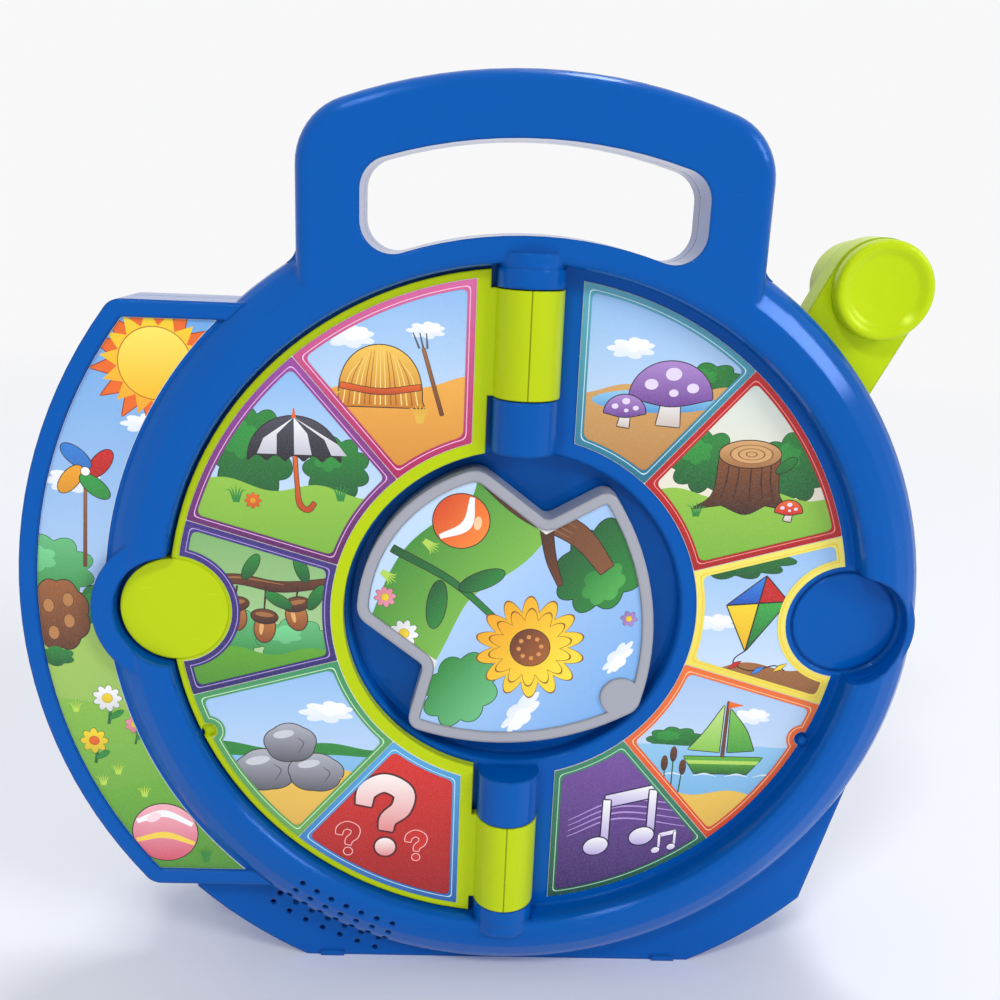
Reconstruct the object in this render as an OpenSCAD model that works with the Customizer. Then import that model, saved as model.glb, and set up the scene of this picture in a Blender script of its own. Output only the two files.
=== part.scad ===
// Sound spinner toy: a round free-standing body with a carry handle, a turning book page,
// a spinner in a central well, a pull-down lever and a picture panel on the left side.
// Millimetres, +Z up. X = 0 is the axis of the disc, the front faces -Y, Z = 0 is the ground.

/* [Disc body] */
// Outer radius of the round body
disc_r = 127; // [124:1:130]
// Height of the disc's lowest point above the ground
ground_gap = 6; // [4:1:9]
// Depth of the rear housing, back face to parting plane
rear_d = 51; // [49:1:54]
// Height of the page floor above the parting plane
floor_rise = 7; // [6.5:0.5:8]
// Height of the ring crown above the page floor
ring_rise = 9; // [8.5:0.5:11]
// Width of the ring around the page's recess
ring_w = 18.7; // [18:0.1:19.5]
// Radius of the spinner well
well_r = 52.4; // [51:0.2:53]
// Depth of the well below the page floor
well_d = 6; // [5:0.5:6.5]
// Wall thickness of both housings
wall = 2.5; // [2:0.1:3]

/* [Rear tub] */
// How far the tub lies inside the flange's edge
tub_in = 13; // [12:1:15]
// Depth of the flange behind the parting plane
flange_d = 9; // [8:0.5:10]
// How far the flat back face lies inside the tub's edge
back_in = 11; // [9:1:16]

/* [Handle] */
// Height of the handle's arc above the disc
handle_rise = 33.2; // [30:0.2:38]
// Half the width of the handle
handle_half_w = 67; // [65:0.5:70]
// Width of the handle bar and posts
handle_bar = 18.2; // [16:0.2:20]
// How far the hand hole reaches into the ring
hole_dip = 10.8; // [10:0.2:12]
// Corner radius of the handle
handle_corner = 19; // [12:1:22]
// Corner radius of the hand hole
hole_corner = 9; // [4:1:11]
// Rounding of the handle's front edges
handle_edge = 4; // [2:0.5:4.5]
// Fillet between the handle and the disc
handle_fillet = 7; // [3:1:9]

/* [Picture panel] */
// Width of the side panel beside the disc
panel_w = 25.2; // [21:0.2:29]
// Top edge of the panel above the disc axis
panel_top = 94.3; // [88:0.1:98]
// Bottom edge of the panel below the disc axis
panel_bottom = 97.7; // [90:0.5:100]
// Corner radius of the panel
panel_corner = 6; // [4:0.5:9]
// Width of the panel rim
panel_rim_w = 5; // [3:0.5:7]
// Height of the panel rim above its picture
panel_rim_h = 1.3; // [0.8:0.1:2]
// Height of the panel picture above the page floor
panel_rise = 4; // [2:0.5:5]

/* [Foot] */
// Half the width of the foot's flat base
base_half_w = 67.2; // [60:0.2:74]
// How far the foot's sides start inside the disc's edge
foot_in = 9; // [7:1:12]
// How much narrower each side of the foot is at its lower corner
foot_taper = 13.5; // [10:0.5:18]
// Thickness of the foot's front plate
foot_plate_t = 2; // [1.5:0.1:3]

/* [Page] */
// Thickness of the page with its two labels
page_t = 3.8; // [3.4:0.1:4.4]
// Gap between the page and the recess wall
page_side_gap = 1.1; // [0.9:0.1:2]
// How far the page stays clear of the well
page_well_gap = 1.4; // [1:0.1:3]
// Distance of the page's straight edge from the hinge axis
page_edge_x = 11.5; // [11.5:0.1:13]
// Radius of the finger tab and of the disc below it
tab_r = 16.5; // [13:0.5:17]
// How far the finger tab's centre lies inside the page's edge
tab_in = 1.7; // [1:0.1:4]
// Depth of the groove round the landing disc on the right
landing_groove = 0.8; // [0.4:0.1:1.2]
// Gap around the page and its tab
page_gap = 0.4; // [0.35:0.05:0.6]

/* [Hinge] */
// Radius of the hinge barrel
barrel_r = 10; // [8:0.5:10]
// Inner end of the page's knuckles, from the disc axis
knuckle_in = 70; // [66:0.5:74]
// How far the page's knuckles end inside the page's edge
knuckle_in_by = 5.9; // [5:0.1:9]
// Radius of the hinge pins
pin_r = 2; // [1.5:0.1:3]
// Running clearance on pins and shafts
run_gap = 0.05; // [0.03:0.01:0.08]

/* [Spinner] */
// Gap between the arrow's tip and the well's wall
spinner_gap = 2.4; // [1.9:0.1:5]
// How much less the barbs and the tail reach than the tip
tail_less = 0.5; // [0:0.1:3]
// Half the width of the arrow's tail
tail_half_w = 30.5; // [27:0.5:33]
// Height of the spinner rim above the page floor
spinner_rise = 4.6; // [3.5:0.1:5]
// Width of the spinner rim
spinner_rim = 3.4; // [2.8:0.1:3.6]
// Rest direction of the arrow, degrees below horizontal
arrow_angle = 37; // [0:1:90]
// Radius of the spinner shaft
shaft_r = 4; // [3:0.5:5]
// Place of the barbs along the arrow, from the disc axis
barb_x = -4.5; // [-8:0.5:-3]
// Place where the neck meets the barbs
neck_x = -12.5; // [-16:0.5:-10]
// Radius of the arrow's side arcs
arrow_side_r = 84; // [76:1:100]
// Corner radius of the barbs
barb_corner = 4.4; // [4:0.1:5]
// Fillet between neck and barbs
neck_fillet = 3; // [1:0.5:4]
// Corner radius of the tail
tail_corner = 7; // [5:0.5:9]
// Radius of the boss on the arrow's tip
tip_boss_r = 6.5; // [5:0.5:7]

/* [Lever] */
// Pivot of the lever, right of the disc axis
pivot_side = 66.6; // [64:0.2:69]
// Pivot of the lever, above the disc axis
pivot_high = 29; // [27:0.5:31]
// Radius of the knob's face
knob_r = 14.7; // [13:0.1:15]
// Radius of the knob's back end
knob_back_r = 13.4; // [12:0.1:14]
// Length of the knob
knob_len = 31.5; // [26:0.5:36]
// How much shorter the lever is than the disc's radius
lever_less = 43; // [39:1:45]
// Direction of the lever at rest, degrees above horizontal
lever_angle = 64; // [62:1:66]
// Travel of the lever, degrees
lever_travel = 40; // [30:1:40]
// Width of the lever's arm
arm_w = 30; // [26:0.5:30]
// Thickness of the lever's arm
arm_t = 9.8; // [7:0.1:9.8]
// Radius of the lever's hub
hub_r = 9; // [8:0.5:11]
// Radius of the pivot pin
pivot_r = 2.5; // [2:0.1:3]

/* [Speaker] */
// Outer radius of the speaker
speaker_r = 25; // [20:0.5:27]
// Radius of one speaker hole
grille_hole_r = 1; // [0.7:0.1:1.3]
// Columns of speaker holes
grille_cols = 7; // [4:1:9]
// Rows of speaker holes
grille_rows = 6; // [3:1:7]
// Distance between the rows of speaker holes
grille_pitch = 4.32; // [3:0.02:4.6]

/* [Power] */
// Diameter of a battery
cell_d = 14.2; // [13:0.1:14.5]
// Length of a battery
cell_len = 50; // [48:0.5:50.5]
// Travel of the power switch either way
switch_travel = 3; // [2:0.5:4]

/* [Small parts] */
// Thickness of every label
label_t = 0.3; // [0.2:0.05:0.35]
// Radius of the screw shanks
screw_r = 1.3; // [1:0.1:1.5]
// Radius of the screw heads
screw_head_r = 2.8; // [2.2:0.1:3]
// Length of the housing screws under the head
screw_len = 11; // [9:0.5:11.4]
// Thickness of the circuit boards
board_t = 1.6; // [1:0.1:2]
// Travel of the page sensing button
sense_travel = 1.2; // [0.6:0.1:1.4]

/* [Hidden] */
$fn = 96;
eps = 0.01;
blue = [0.02, 0.38, 0.76];
lime = [0.74, 0.86, 0.12];
grey = [0.60, 0.60, 0.64];
steel = [0.72, 0.73, 0.75];
paper = [0.93, 0.93, 0.90];
board_green = [0.05, 0.35, 0.18];
black = [0.08, 0.08, 0.09];
copper = [0.80, 0.55, 0.25];

// sizes that follow the disc
drawn_r = 127;
unit = disc_r / drawn_r;
disc_z = disc_r + ground_gap;
recess_r = disc_r - ring_w;
tub_r = disc_r - tub_in;
back_r = tub_r - back_in;
handle_r = disc_r + handle_rise;
hole_low_r = disc_r - hole_dip;
panel_r = disc_r + panel_w;
foot_r = norm([disc_z, base_half_w]);
foot_top_half_w = disc_r - foot_in;
foot_low_half_w = foot_top_half_w - foot_taper;
page_r = recess_r - page_side_gap;
page_in_r = well_r + page_well_gap;
tab_x = page_r - tab_in;
knuckle_out = page_r - knuckle_in_by;
arrow_reach = well_r - spinner_gap;
arrow_half_w = arrow_reach - tail_less;
tail_r = arrow_reach - tail_less;
lever_len = disc_r - lever_less;

// heights above the back face, towards the front
h_part = rear_d;
h_floor = h_part + floor_rise;
h_crown = h_floor + ring_rise;
h_under = h_floor - wall;
h_well = h_floor - well_d;
h_well_under = h_well - wall;
h_flange = h_part - flange_d;
h_handle = h_crown - 0.5;
h_panel = h_floor + panel_rise;
h_rim = h_panel + panel_rim_h;
h_foot = h_part + foot_plate_t;
h_page_back = h_floor + label_t + page_gap;
h_page_front = h_page_back + page_t;
h_page_mid = (h_page_back + h_page_front) / 2;
h_hinge = h_page_mid;
tab_proud = 0.3;
h_spinner = h_floor + spinner_rise;
back_y = rear_d / 2 + 0.5;

// lever placing
arm_top = h_under - 0.7;
arm_bottom = arm_top - arm_t;
knob_front = arm_top + 6.2;
pivot_x = pivot_side * unit;
pivot_y = pivot_high * unit;
arm_taper = lever_len * 0.46;
slot_gap = 0.5;

// the two kinds of housing boss
boss_r = 4.2;
hole_half_w = handle_half_w - handle_bar;
hole_high_r = handle_r - handle_bar;
head_t = 2;
body_bosses = unit * [[32, 88], [-32, 88], [-92, 32], [-92, -42], [94, -28], [66, -96], [-10, -112]];
post_bosses = [[1, 1], [-1, 1]];
post_x = handle_half_w - handle_bar / 2;
post_y = disc_r - 6;
h_seat = h_part - 5.5;
h_post_seat = h_flange + head_t + 0.6;

// spinner drive, under the well floor
label_sink = 1;
hub_tube_r = shaft_r + 3;
h_encoder = h_well_under - board_t;
encoder_r = 18;
wiper_t = 2.4;
wiper_r = 14;
h_wiper = h_encoder - 0.5;
h_shaft_end = h_wiper - wiper_t;

// main board
board_x = -88 * unit;
board_y = -33 * unit;
board_w = 52 * unit;
board_h = 66 * unit;
h_board = h_under - 10;
post_r = 3;
post_in = 5;
board_posts = [for (x = [post_in, board_w - post_in], y = [post_in, board_h - post_in]) [x, y]];
board_screw_len = 6;

// speaker
speaker_x = -52 * unit;
speaker_y = -98 * unit;
h_speaker = h_part - 0.3;
speaker_d = 19;
speaker_cup_d = 11;
speaker_rim_t = 4;
speaker_sheet = 1;
cone_k = speaker_cup_d / 11;
clamp_t = 1.5;
clamp_w = 7;
clamp_at = speaker_r + 5;
clamp_screw_len = 5;
grille_a0 = -125.2;
grille_a1 = -108.6;
grille_r0 = disc_r - 11.6;
grille_r1 = grille_r0 + (grille_rows - 1) * grille_pitch;

// battery box
cells = 3;
cell_gap = 0.6;
cell_pitch = cell_d + cell_gap;
box_wall = 2;
box_in_w = cell_len + 7;
box_in_h = cells * cell_pitch + cell_gap;
box_x = 14 * unit;
box_y = -72 * unit;
door_t = 2.4;
box_depth = door_t + cell_d + 1.2;
door_gap = 0.3;
door_lip = 2;
door_screw_y = box_in_h / 2 + 5.5;
contact_t = 0.4;
spring_gap = 3;

// power switch
power_x = 50 * unit;
power_y = -24 * unit;
power_pocket = [2 * switch_travel + 17, 12];
power_pocket_d = 2.6;
power_knob = [9, 8];
power_stem = [4, 3];
power_wall = 2;

// page sensing button, on the right of the floor
sense_at = recess_r - 3.26;
sense_turn = -23.27;
sense_x = sense_at * cos(sense_turn);
sense_y = sense_at * sin(sense_turn);
sense_r = 1.5;
sense_rise = 2;
sense_flange_r = 3;

// labels
label_r = page_r - 2.2;
label_in_r = page_in_r + 3.8;
label_edge_x = 15.5;
tab_clear = 1;
pocket_r = tab_r + 1.5;
collar_r = pocket_r + 6.5;

// ---- placing -------------------------------------------------------------

// Face frame: X right, Y up from the disc axis, Z from the back face to the front
module face() {
    translate([0, back_y, disc_z]) rotate([90, 0, 0]) children();
}

module slab(h0, h1) {
    translate([0, 0, h0]) linear_extrude(height = h1 - h0) children();
}

module rod(r, h0, h1, x = 0, y = 0) {
    translate([x, y, h0]) cylinder(r = r, h = h1 - h0);
}

module block(x, y, w, h, h0, h1) {
    translate([x - w / 2, y - h / 2, h0]) cube([w, h, h1 - h0]);
}

// a cylinder along the face's Y axis, from y0 to y1, on the hinge axis
module hinge_rod(r, y0, y1) {
    translate([0, y0, h_hinge]) rotate([-90, 0, 0]) cylinder(r = r, h = y1 - y0);
}

// points of an arc, for outlines made of several arcs
function arc(cx, cy, r, a0, a1, n = 10) =
    [for (i = [0 : n]) let (a = a0 + (a1 - a0) * i / n) [cx + r * cos(a), cy + r * sin(a)]];

// disc with a rounded front edge
module puck(r, h0, h1, e) {
    rotate_extrude($fn = 180) polygon(concat([[0, h0], [r, h0]], arc(r - e, h1 - e, e, 0, 90, 5), [[0, h1]]));
}

// ---- outlines ------------------------------------------------------------

// window between two arcs with straight sides and rounded corners
module arc_window(r0, r1, half_w, c) {
    cx = half_w - c;
    high = sqrt(pow(r1 - c, 2) - cx * cx);
    low = sqrt(pow(r0 + c, 2) - cx * cx);
    k = r0 / (r0 + c);
    difference() {
        union() {
            for (s = [-1, 1]) {
                translate([s * cx, high]) circle(r = c);
                translate([s * cx, low]) circle(r = c);
            }
            translate([-half_w, low]) square([2 * half_w, high - low]);
            intersection() {
                circle(r = r1, $fn = 180);
                polygon([[-cx, low], [-cx, high], [-cx * 2, high * 2],
                    [cx * 2, high * 2], [cx, high], [cx, low]]);
            }
            polygon([[-cx, high], [-cx, low], [-cx * k, low * k],
                [cx * k, low * k], [cx, low], [cx, high]]);
        }
        circle(r = r0, $fn = 180);
    }
}

// disc cut by straight sides, with rounded corners where the sides meet the arc
module handle_2d(inset = 0) {
    r = handle_r - inset;
    w = handle_half_w - inset;
    c = max(handle_corner - inset, 1);
    cx = w - c;
    cy = sqrt(pow(r - c, 2) - cx * cx);
    for (s = [-1, 1])
        translate([s * cx, cy]) circle(r = c);
    intersection() {
        circle(r = r, $fn = 180);
        polygon([[0, 0], [-cx * 2, cy * 2], [cx * 2, cy * 2]]);
    }
    translate([-w, disc_r * 0.6]) square([2 * w, cy - disc_r * 0.6]);
}

// fillets between the handle's sides and the disc
module handle_root_2d(inset = 0) {
    f = handle_fillet;
    fx = handle_half_w + f;
    fy = sqrt(pow(disc_r + f, 2) - fx * fx);
    k = disc_r / (disc_r + f);
    side = handle_half_w - wall - 0.5;
    for (s = [0, 1]) mirror([s, 0, 0]) difference() {
        polygon([[side, fy], [fx, fy], [fx * k, fy * k], [side, fy * k - 1]]);
        translate([fx, fy]) circle(r = f + inset);
    }
}

module hand_hole_2d(grow = 0) {
    arc_window(hole_low_r - grow, hole_high_r + grow, hole_half_w + grow, hole_corner + grow);
}

module panel_2d(inset = 0) {
    c = max(panel_corner - inset, 1);
    r = panel_r - inset;
    high = panel_top - inset - c;
    low = panel_bottom - inset - c;
    high_x = sqrt(pow(r - c, 2) - high * high);
    low_x = sqrt(pow(r - c, 2) - low * low);
    translate([-high_x, high]) circle(r = c);
    translate([-low_x, -low]) circle(r = c);
    intersection() {
        circle(r = r, $fn = 180);
        polygon([[0, 0], [-2 * high_x, 2 * high], [-2 * low_x, -2 * low]]);
    }
    translate([-high_x, 0]) square([high_x, high + c]);
    translate([-low_x, -low - c]) square([low_x, low + c + 1]);
}

module foot_2d(inset = 0) {
    top_y = -disc_r * 0.42 - inset;
    low_y = -sqrt(foot_r * foot_r - foot_low_half_w * foot_low_half_w);
    slope = (foot_top_half_w - foot_low_half_w) / (-disc_r * 0.42 - low_y);
    w_top = foot_top_half_w - slope * inset - inset;
    w_base = foot_top_half_w - slope * (-disc_r * 0.42 + disc_z - inset) - inset;
    intersection() {
        circle(r = foot_r - inset, $fn = 180);
        polygon([[-w_top, top_y], [w_top, top_y], [w_base, -disc_z + inset],
            [-w_base, -disc_z + inset]]);
    }
}

// half annulus of a page or label; side is 1 for the right half, -1 for the left
module half_ring_2d(r0, r1, edge_x, side) {
    intersection() {
        difference() {
            circle(r = r1, $fn = 180);
            circle(r = r0, $fn = 120);
        }
        translate([side > 0 ? edge_x : -edge_x - r1, -r1]) square([r1, 2 * r1]);
    }
}

// the handle's outline as a solid with rounded front edges
module handle_form(h0, h1, e) {
    w = handle_half_w;
    cx = w - handle_corner;
    cy = sqrt(pow(handle_r - handle_corner, 2) - cx * cx);
    for (s = [-1, 1])
        translate([s * cx, cy, 0]) puck(handle_corner, h0, h1, e);
    intersection() {
        puck(handle_r, h0, h1, e);
        slab(h0 - 1, h1 + 1) polygon([[0, 0], [-cx * 2, cy * 2], [cx * 2, cy * 2]]);
    }
    translate([0, cy, 0]) rotate([90, 0, 0]) linear_extrude(height = cy - disc_r * 0.6)
        polygon(concat([[-w, h0], [w, h0]], arc(w - e, h1 - e, e, 0, 90, 5), arc(e - w, h1 - e, e, 90, 180, 5)));
}

// ---- housings ------------------------------------------------------------

// radial section of the front shell: well, floor, recess wall, crown and flank
module front_section() {
    polygon([
        [hub_tube_r - eps, h_well_under], [well_r + wall, h_well_under],
        [well_r + wall, h_under], [recess_r + wall, h_under],
        [recess_r + wall, h_crown - wall - 0.6], [disc_r - 10, h_crown - wall - 1],
        [disc_r - 5.4, h_crown - wall - 3.4], [disc_r - wall, h_floor],
        [disc_r - wall, h_part], [disc_r, h_part],
        [disc_r, h_floor + 0.5], [disc_r - 0.5, h_floor + 2.6],
        [disc_r - 2.2, h_floor + 4.8], [disc_r - 4.6, h_crown - 2.6],
        [disc_r - 9, h_crown - 0.5], [disc_r - 12.5, h_crown],
        [recess_r + 2.6, h_crown], [recess_r + 0.8, h_crown - 0.7],
        [recess_r, h_crown - 2.6], [recess_r, h_floor],
        [well_r + 0.8, h_floor], [well_r, h_floor - 0.8],
        [well_r, h_well], [hub_tube_r - eps, h_well]
    ]);
}

module grille_holes() {
    for (i = [0 : grille_cols - 1], j = [0 : grille_rows - 1]) {
        a = grille_a0 + (grille_a1 - grille_a0) * i / (grille_cols - 1);
        r = grille_r0 + (grille_r1 - grille_r0) * j / (grille_rows - 1);
        rod(grille_hole_r, h_part - 1, h_crown + 1, r * cos(a), r * sin(a), $fn = 16);
    }
}

// the space that the lever's arm sweeps, seen from the front
module lever_slot_2d() {
    reach = disc_r;
    far = asin((arm_w / 2 + slot_gap) / (lever_len * 0.6)) + 1.5;
    a0 = lever_angle - lever_travel - far;
    a1 = lever_angle + far;
    translate([pivot_x, pivot_y])
        polygon(concat([[0, 0]], [for (k = [0 : 4]) let (a = a0 + (a1 - a0) * k / 4)
            [reach * cos(a), reach * sin(a)]]));
}

module front_housing() {
    color(blue) face() difference() {
        union() {
            rotate_extrude($fn = 180) front_section();
            // handle front, a shell around its hand hole
            difference() {
                union() {
                    handle_form(h_part, h_handle, handle_edge);
                    slab(h_part, h_floor + 2) handle_root_2d();
                }
                slab(h_part - 1, h_handle - wall) handle_2d(wall);
                slab(h_part - 1, h_floor + 2 - wall) handle_root_2d(wall);
                rod(disc_r - 13, h_part - 1, h_crown + 1, $fn = 180);
            }
            difference() {
                slab(h_part, h_handle) hand_hole_2d(wall);
                rod(recess_r + wall, h_part - 1, h_crown + 1, $fn = 180);
            }
            // side panel with its rim
            difference() {
                slab(h_part, h_rim) panel_2d();
                slab(h_panel, h_rim + 1) panel_2d(panel_rim_w);
                slab(h_part - 1, h_panel - wall) panel_2d(wall);
                rod(disc_r - wall, h_part - 1, h_rim + 1, $fn = 180);
            }
            // foot plate
            difference() {
                slab(h_part, h_foot) foot_2d();
                rod(disc_r - wall, h_part - 1, h_foot + 1, $fn = 180);
            }
            // collar around the tab pocket
            rod(collar_r, h_part, h_crown - 1, -tab_x);
            rod(pocket_r + wall, h_part + 2, h_crown - 3.5, tab_x);
            // trough walls and fixed knuckles of the hinge
            for (s = [0, 1]) mirror([0, s, 0]) {
                hinge_rod(barrel_r + page_gap + wall, well_r + 1, recess_r - 1);
                hinge_rod(barrel_r - 0.3, recess_r - 3, recess_r + 3.5);
            }
            // boss around the spinner shaft
            rod(hub_tube_r, h_encoder - 0.1, h_well);
            for (p = body_bosses)
                rod(boss_r, h_part, norm(p) > recess_r ? h_crown - 2 : h_floor - 1, p[0], p[1]);
            for (p = post_bosses)
                rod(boss_r, h_part, h_handle - 1, p[0] * post_x, post_y);
            for (p = board_posts)
                rod(post_r, h_board + board_t, h_floor - 1, board_x + p[0], board_y + p[1]);
            rod(sense_flange_r + 2, h_under - 8, h_floor - 1, sense_x, sense_y);
            // ledges at the front of the foot
            for (s = [-1, 1])
                block(s * (base_half_w - 8.7), -disc_z + 1, 8, 2, h_part, h_foot + 0.8);
        }
        // keep everything below the floor, then open the recess and the well again
        slab(h_floor, h_crown + 20) difference() {
            circle(r = recess_r, $fn = 180);
            for (s = [0, 1]) mirror([0, s, 0]) translate([-barrel_r, well_r])
                square([2 * barrel_r, recess_r - well_r]);
        }
        difference() {
            slab(h_floor, h_hinge + barrel_r + 5) square([2 * barrel_r + eps, 2 * recess_r], center = true);
            hinge_rod(barrel_r, -recess_r - 1, recess_r + 1);
            rod(disc_r * 2, 0, h_floor);
        }
        rod(well_r, h_well, h_crown + 20, $fn = 180);
        // trough for the page's knuckles
        for (s = [0, 1]) mirror([0, s, 0])
            hinge_rod(barrel_r + page_gap, knuckle_in - page_gap, knuckle_out + page_gap);
        // hinge pins
        for (s = [0, 1]) mirror([0, s, 0])
            hinge_rod(pin_r, well_r + 3.5, recess_r + 3);
        // hand hole
        slab(h_part - 1, h_crown + 1) hand_hole_2d();
        // tab pockets, the right one keeps its landing disc
        rod(pocket_r, h_floor, h_crown + 1, -tab_x);
        rod(pocket_r, h_floor, h_crown + 1, tab_x);
        difference() {
            rod(tab_r + 0.9, h_floor - landing_groove, h_floor + 1, tab_x);
            rod(tab_r, h_floor - 1 - landing_groove, h_floor + 2, tab_x);
        }
        // hollows below the two tab pockets
        rod(collar_r - wall, h_part - 1, h_under, -tab_x);
        rod(pocket_r, h_part - 1, h_under, tab_x);
        // bores
        rod(shaft_r + run_gap, h_encoder - 1, h_well + 1);
        for (p = body_bosses)
            rod(screw_r, h_part - 1, h_seat + screw_len, p[0], p[1]);
        for (p = post_bosses)
            rod(screw_r, h_part - 1, h_post_seat + screw_len, p[0] * post_x, post_y);
        for (p = board_posts)
            rod(screw_r, h_board, h_board + board_screw_len, board_x + p[0], board_y + p[1]);
        rod(pivot_r, h_part, h_floor - 1, pivot_x, pivot_y);
        rod(sense_r + run_gap, h_part, h_floor + 1, sense_x, sense_y);
        rod(sense_flange_r + 0.3, h_under - 9, h_under, sense_x, sense_y);
        slab(arm_bottom - 0.4, arm_top + 0.4) difference() {
            lever_slot_2d();
            circle(r = disc_r - wall - 1);
        }
        grille_holes();
    }
}

module tub_section(inset) {
    polygon([
        [0, inset], [back_r - inset, inset], [back_r + 5 - inset, 2 + inset],
        [back_r + 8 - inset, 8], [tub_r - inset, h_flange + 1],
        [tub_r - inset, h_flange + wall + 1], [0, h_flange + wall + 1]
    ]);
}

module flange_2d(inset = 0) {
    circle(r = disc_r - inset, $fn = 180);
    handle_2d(inset);
    handle_root_2d(inset);
    panel_2d(inset);
}

module rear_housing() {
    color(blue) face() difference() {
        union() {
            difference() {
                union() {
                    rotate_extrude($fn = 180) tub_section(0);
                    slab(h_flange, h_part) flange_2d();
                    slab(0, h_part) foot_2d();
                }
                rotate_extrude($fn = 180) tub_section(wall);
                slab(h_flange + wall, h_part + 1) flange_2d(wall);
                slab(wall, h_part + 1) foot_2d(wall);
            }
            slab(h_flange, h_part) hand_hole_2d(wall);
            for (p = body_bosses)
                rod(boss_r, wall - eps, h_part, p[0], p[1]);
            for (p = post_bosses)
                rod(boss_r, h_flange, h_part, p[0] * post_x, post_y);
            rod(6, wall - eps, arm_bottom - 0.3, pivot_x, pivot_y);
            // battery box
            block(box_x, box_y, box_in_w + 2 * box_wall, box_in_h + 2 * box_wall, 0, box_depth + box_wall);
            block(box_x, box_y + 4, box_in_w + 2 * door_lip + 2 * box_wall + 1,
                box_in_h + 2 * door_lip + 8 + 2 * box_wall, 0, door_t + box_wall);
            rod(boss_r, wall - eps, 14, box_x, box_y + door_screw_y);
            // thicker wall behind the power switch
            block(power_x, power_y, power_pocket[0] + 4, power_pocket[1] + 4, 0,
                power_pocket_d + power_wall);
            // post under the lever switch
            intersection() {
                lever_switch_place() block(0, 0, 12, 8, wall - eps, arm_bottom);
                rotate_extrude($fn = 180) tub_section(0);
            }
            // ribs that carry the speaker
            for (a = [0, 120, 240])
                rod(boss_r - 0.2, wall - eps, h_speaker - speaker_rim_t - clamp_t,
                    speaker_x + clamp_at * cos(a + 70), speaker_y + clamp_at * sin(a + 70));
        }
        slab(h_flange - 1, h_part + 1) hand_hole_2d();
        for (p = body_bosses) {
            rod(screw_head_r + 0.3, -1, h_seat, p[0], p[1]);
            rod(screw_r + 0.2, h_seat - 1, h_part + 1, p[0], p[1]);
        }
        for (p = post_bosses) {
            rod(screw_head_r + 0.3, h_flange - 1, h_post_seat, p[0] * post_x, post_y);
            rod(screw_r + 0.2, h_post_seat - 1, h_part + 1, p[0] * post_x, post_y);
        }
        rod(pivot_r, arm_bottom - 12, arm_bottom + 1, pivot_x, pivot_y);
        // battery box, its door rebate and the door screw
        block(box_x, box_y, box_in_w, box_in_h, -1, box_depth);
        block(box_x, box_y + 4, box_in_w + 2 * door_lip, box_in_h + 2 * door_lip + 8, -1, door_t);
        rod(screw_r, 0, 12, box_x, box_y + door_screw_y);
        // power switch pocket and slot
        block(power_x, power_y, power_pocket[0], power_pocket[1], -1, power_pocket_d);
        block(power_x, power_y, power_stem[0] + 2 * switch_travel + 0.8, power_stem[1] + 0.8, 0,
            power_pocket_d + power_wall + 1);
        // slot for the lever's arm
        slab(arm_bottom - 0.4, h_part + 1) difference() {
            lever_slot_2d();
            circle(r = disc_r - wall - 1);
        }
        for (a = [0, 120, 240])
            rod(screw_r, h_speaker - speaker_d + 5.5, h_speaker,
                speaker_x + clamp_at * cos(a + 70), speaker_y + clamp_at * sin(a + 70));
    }
}

module screw(x, y, h_head, len, dir = 1) {
    translate([x, y, h_head]) mirror([0, 0, dir > 0 ? 0 : 1]) {
        translate([0, 0, -head_t]) difference() {
            cylinder(r = screw_head_r, h = head_t);
            for (a = [0, 90])
                rotate(a) translate([-1.7, -0.4, -1]) cube([3.4, 0.8, 2]);
        }
        cylinder(r = screw_r, h = len);
    }
}

module housing_screws() {
    color(steel) face() {
        for (p = body_bosses)
            screw(p[0], p[1], h_seat, screw_len);
        for (p = post_bosses)
            screw(p[0] * post_x, post_y, h_post_seat, screw_len);
    }
}

// ---- labels on the housing -------------------------------------------------

module side_panel_label() {
    color(paper) face() slab(h_panel, h_panel + label_t) difference() {
        panel_2d(panel_rim_w + 0.2);
        circle(r = disc_r - 0.5, $fn = 180);
        translate([-tab_x, 0]) circle(r = collar_r + 0.3);
    }
}

module right_floor_label() {
    color(paper) face() slab(h_floor, h_floor + label_t) difference() {
        half_ring_2d(label_in_r, label_r, label_edge_x, 1);
        translate([tab_x, 0]) circle(r = pocket_r + tab_clear);
        translate([sense_x, sense_y]) circle(r = sense_r + tab_clear);
    }
}

module left_floor_label() {
    color(paper) face() slab(h_floor, h_floor + label_t) difference() {
        half_ring_2d(label_in_r, label_r, label_edge_x, -1);
        translate([-tab_x, 0]) circle(r = pocket_r + tab_clear);
    }
}

// ---- page ------------------------------------------------------------------

// flat of the page, with its tab and the webs that reach the barrel
module page_2d() {
    difference() {
        union() {
            half_ring_2d(page_in_r, page_r, page_edge_x, -1);
            translate([-tab_x, 0]) circle(r = tab_r);
        }
    }
}

module page_web(h0, h1) {
    for (s = [0, 1]) mirror([0, s, 0])
        translate([-page_edge_x - 1, knuckle_in, h0]) cube([page_edge_x + 1 - 5, knuckle_out - knuckle_in, h1 - h0]);
}

// left half of the page's knuckles; h0 and h1 pick the front or the back quarter
module page_knuckles(h0, h1) {
    intersection() {
        for (s = [0, 1]) mirror([0, s, 0])
            hinge_rod(barrel_r, knuckle_in, knuckle_out);
        translate([-2 * barrel_r, -disc_r, h0]) cube([2 * barrel_r, 2 * disc_r, h1 - h0]);
    }
}

module pin_bores() {
    for (s = [0, 1]) mirror([0, s, 0])
        hinge_rod(pin_r + run_gap, knuckle_in - 1, knuckle_out + 1);
}

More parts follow.
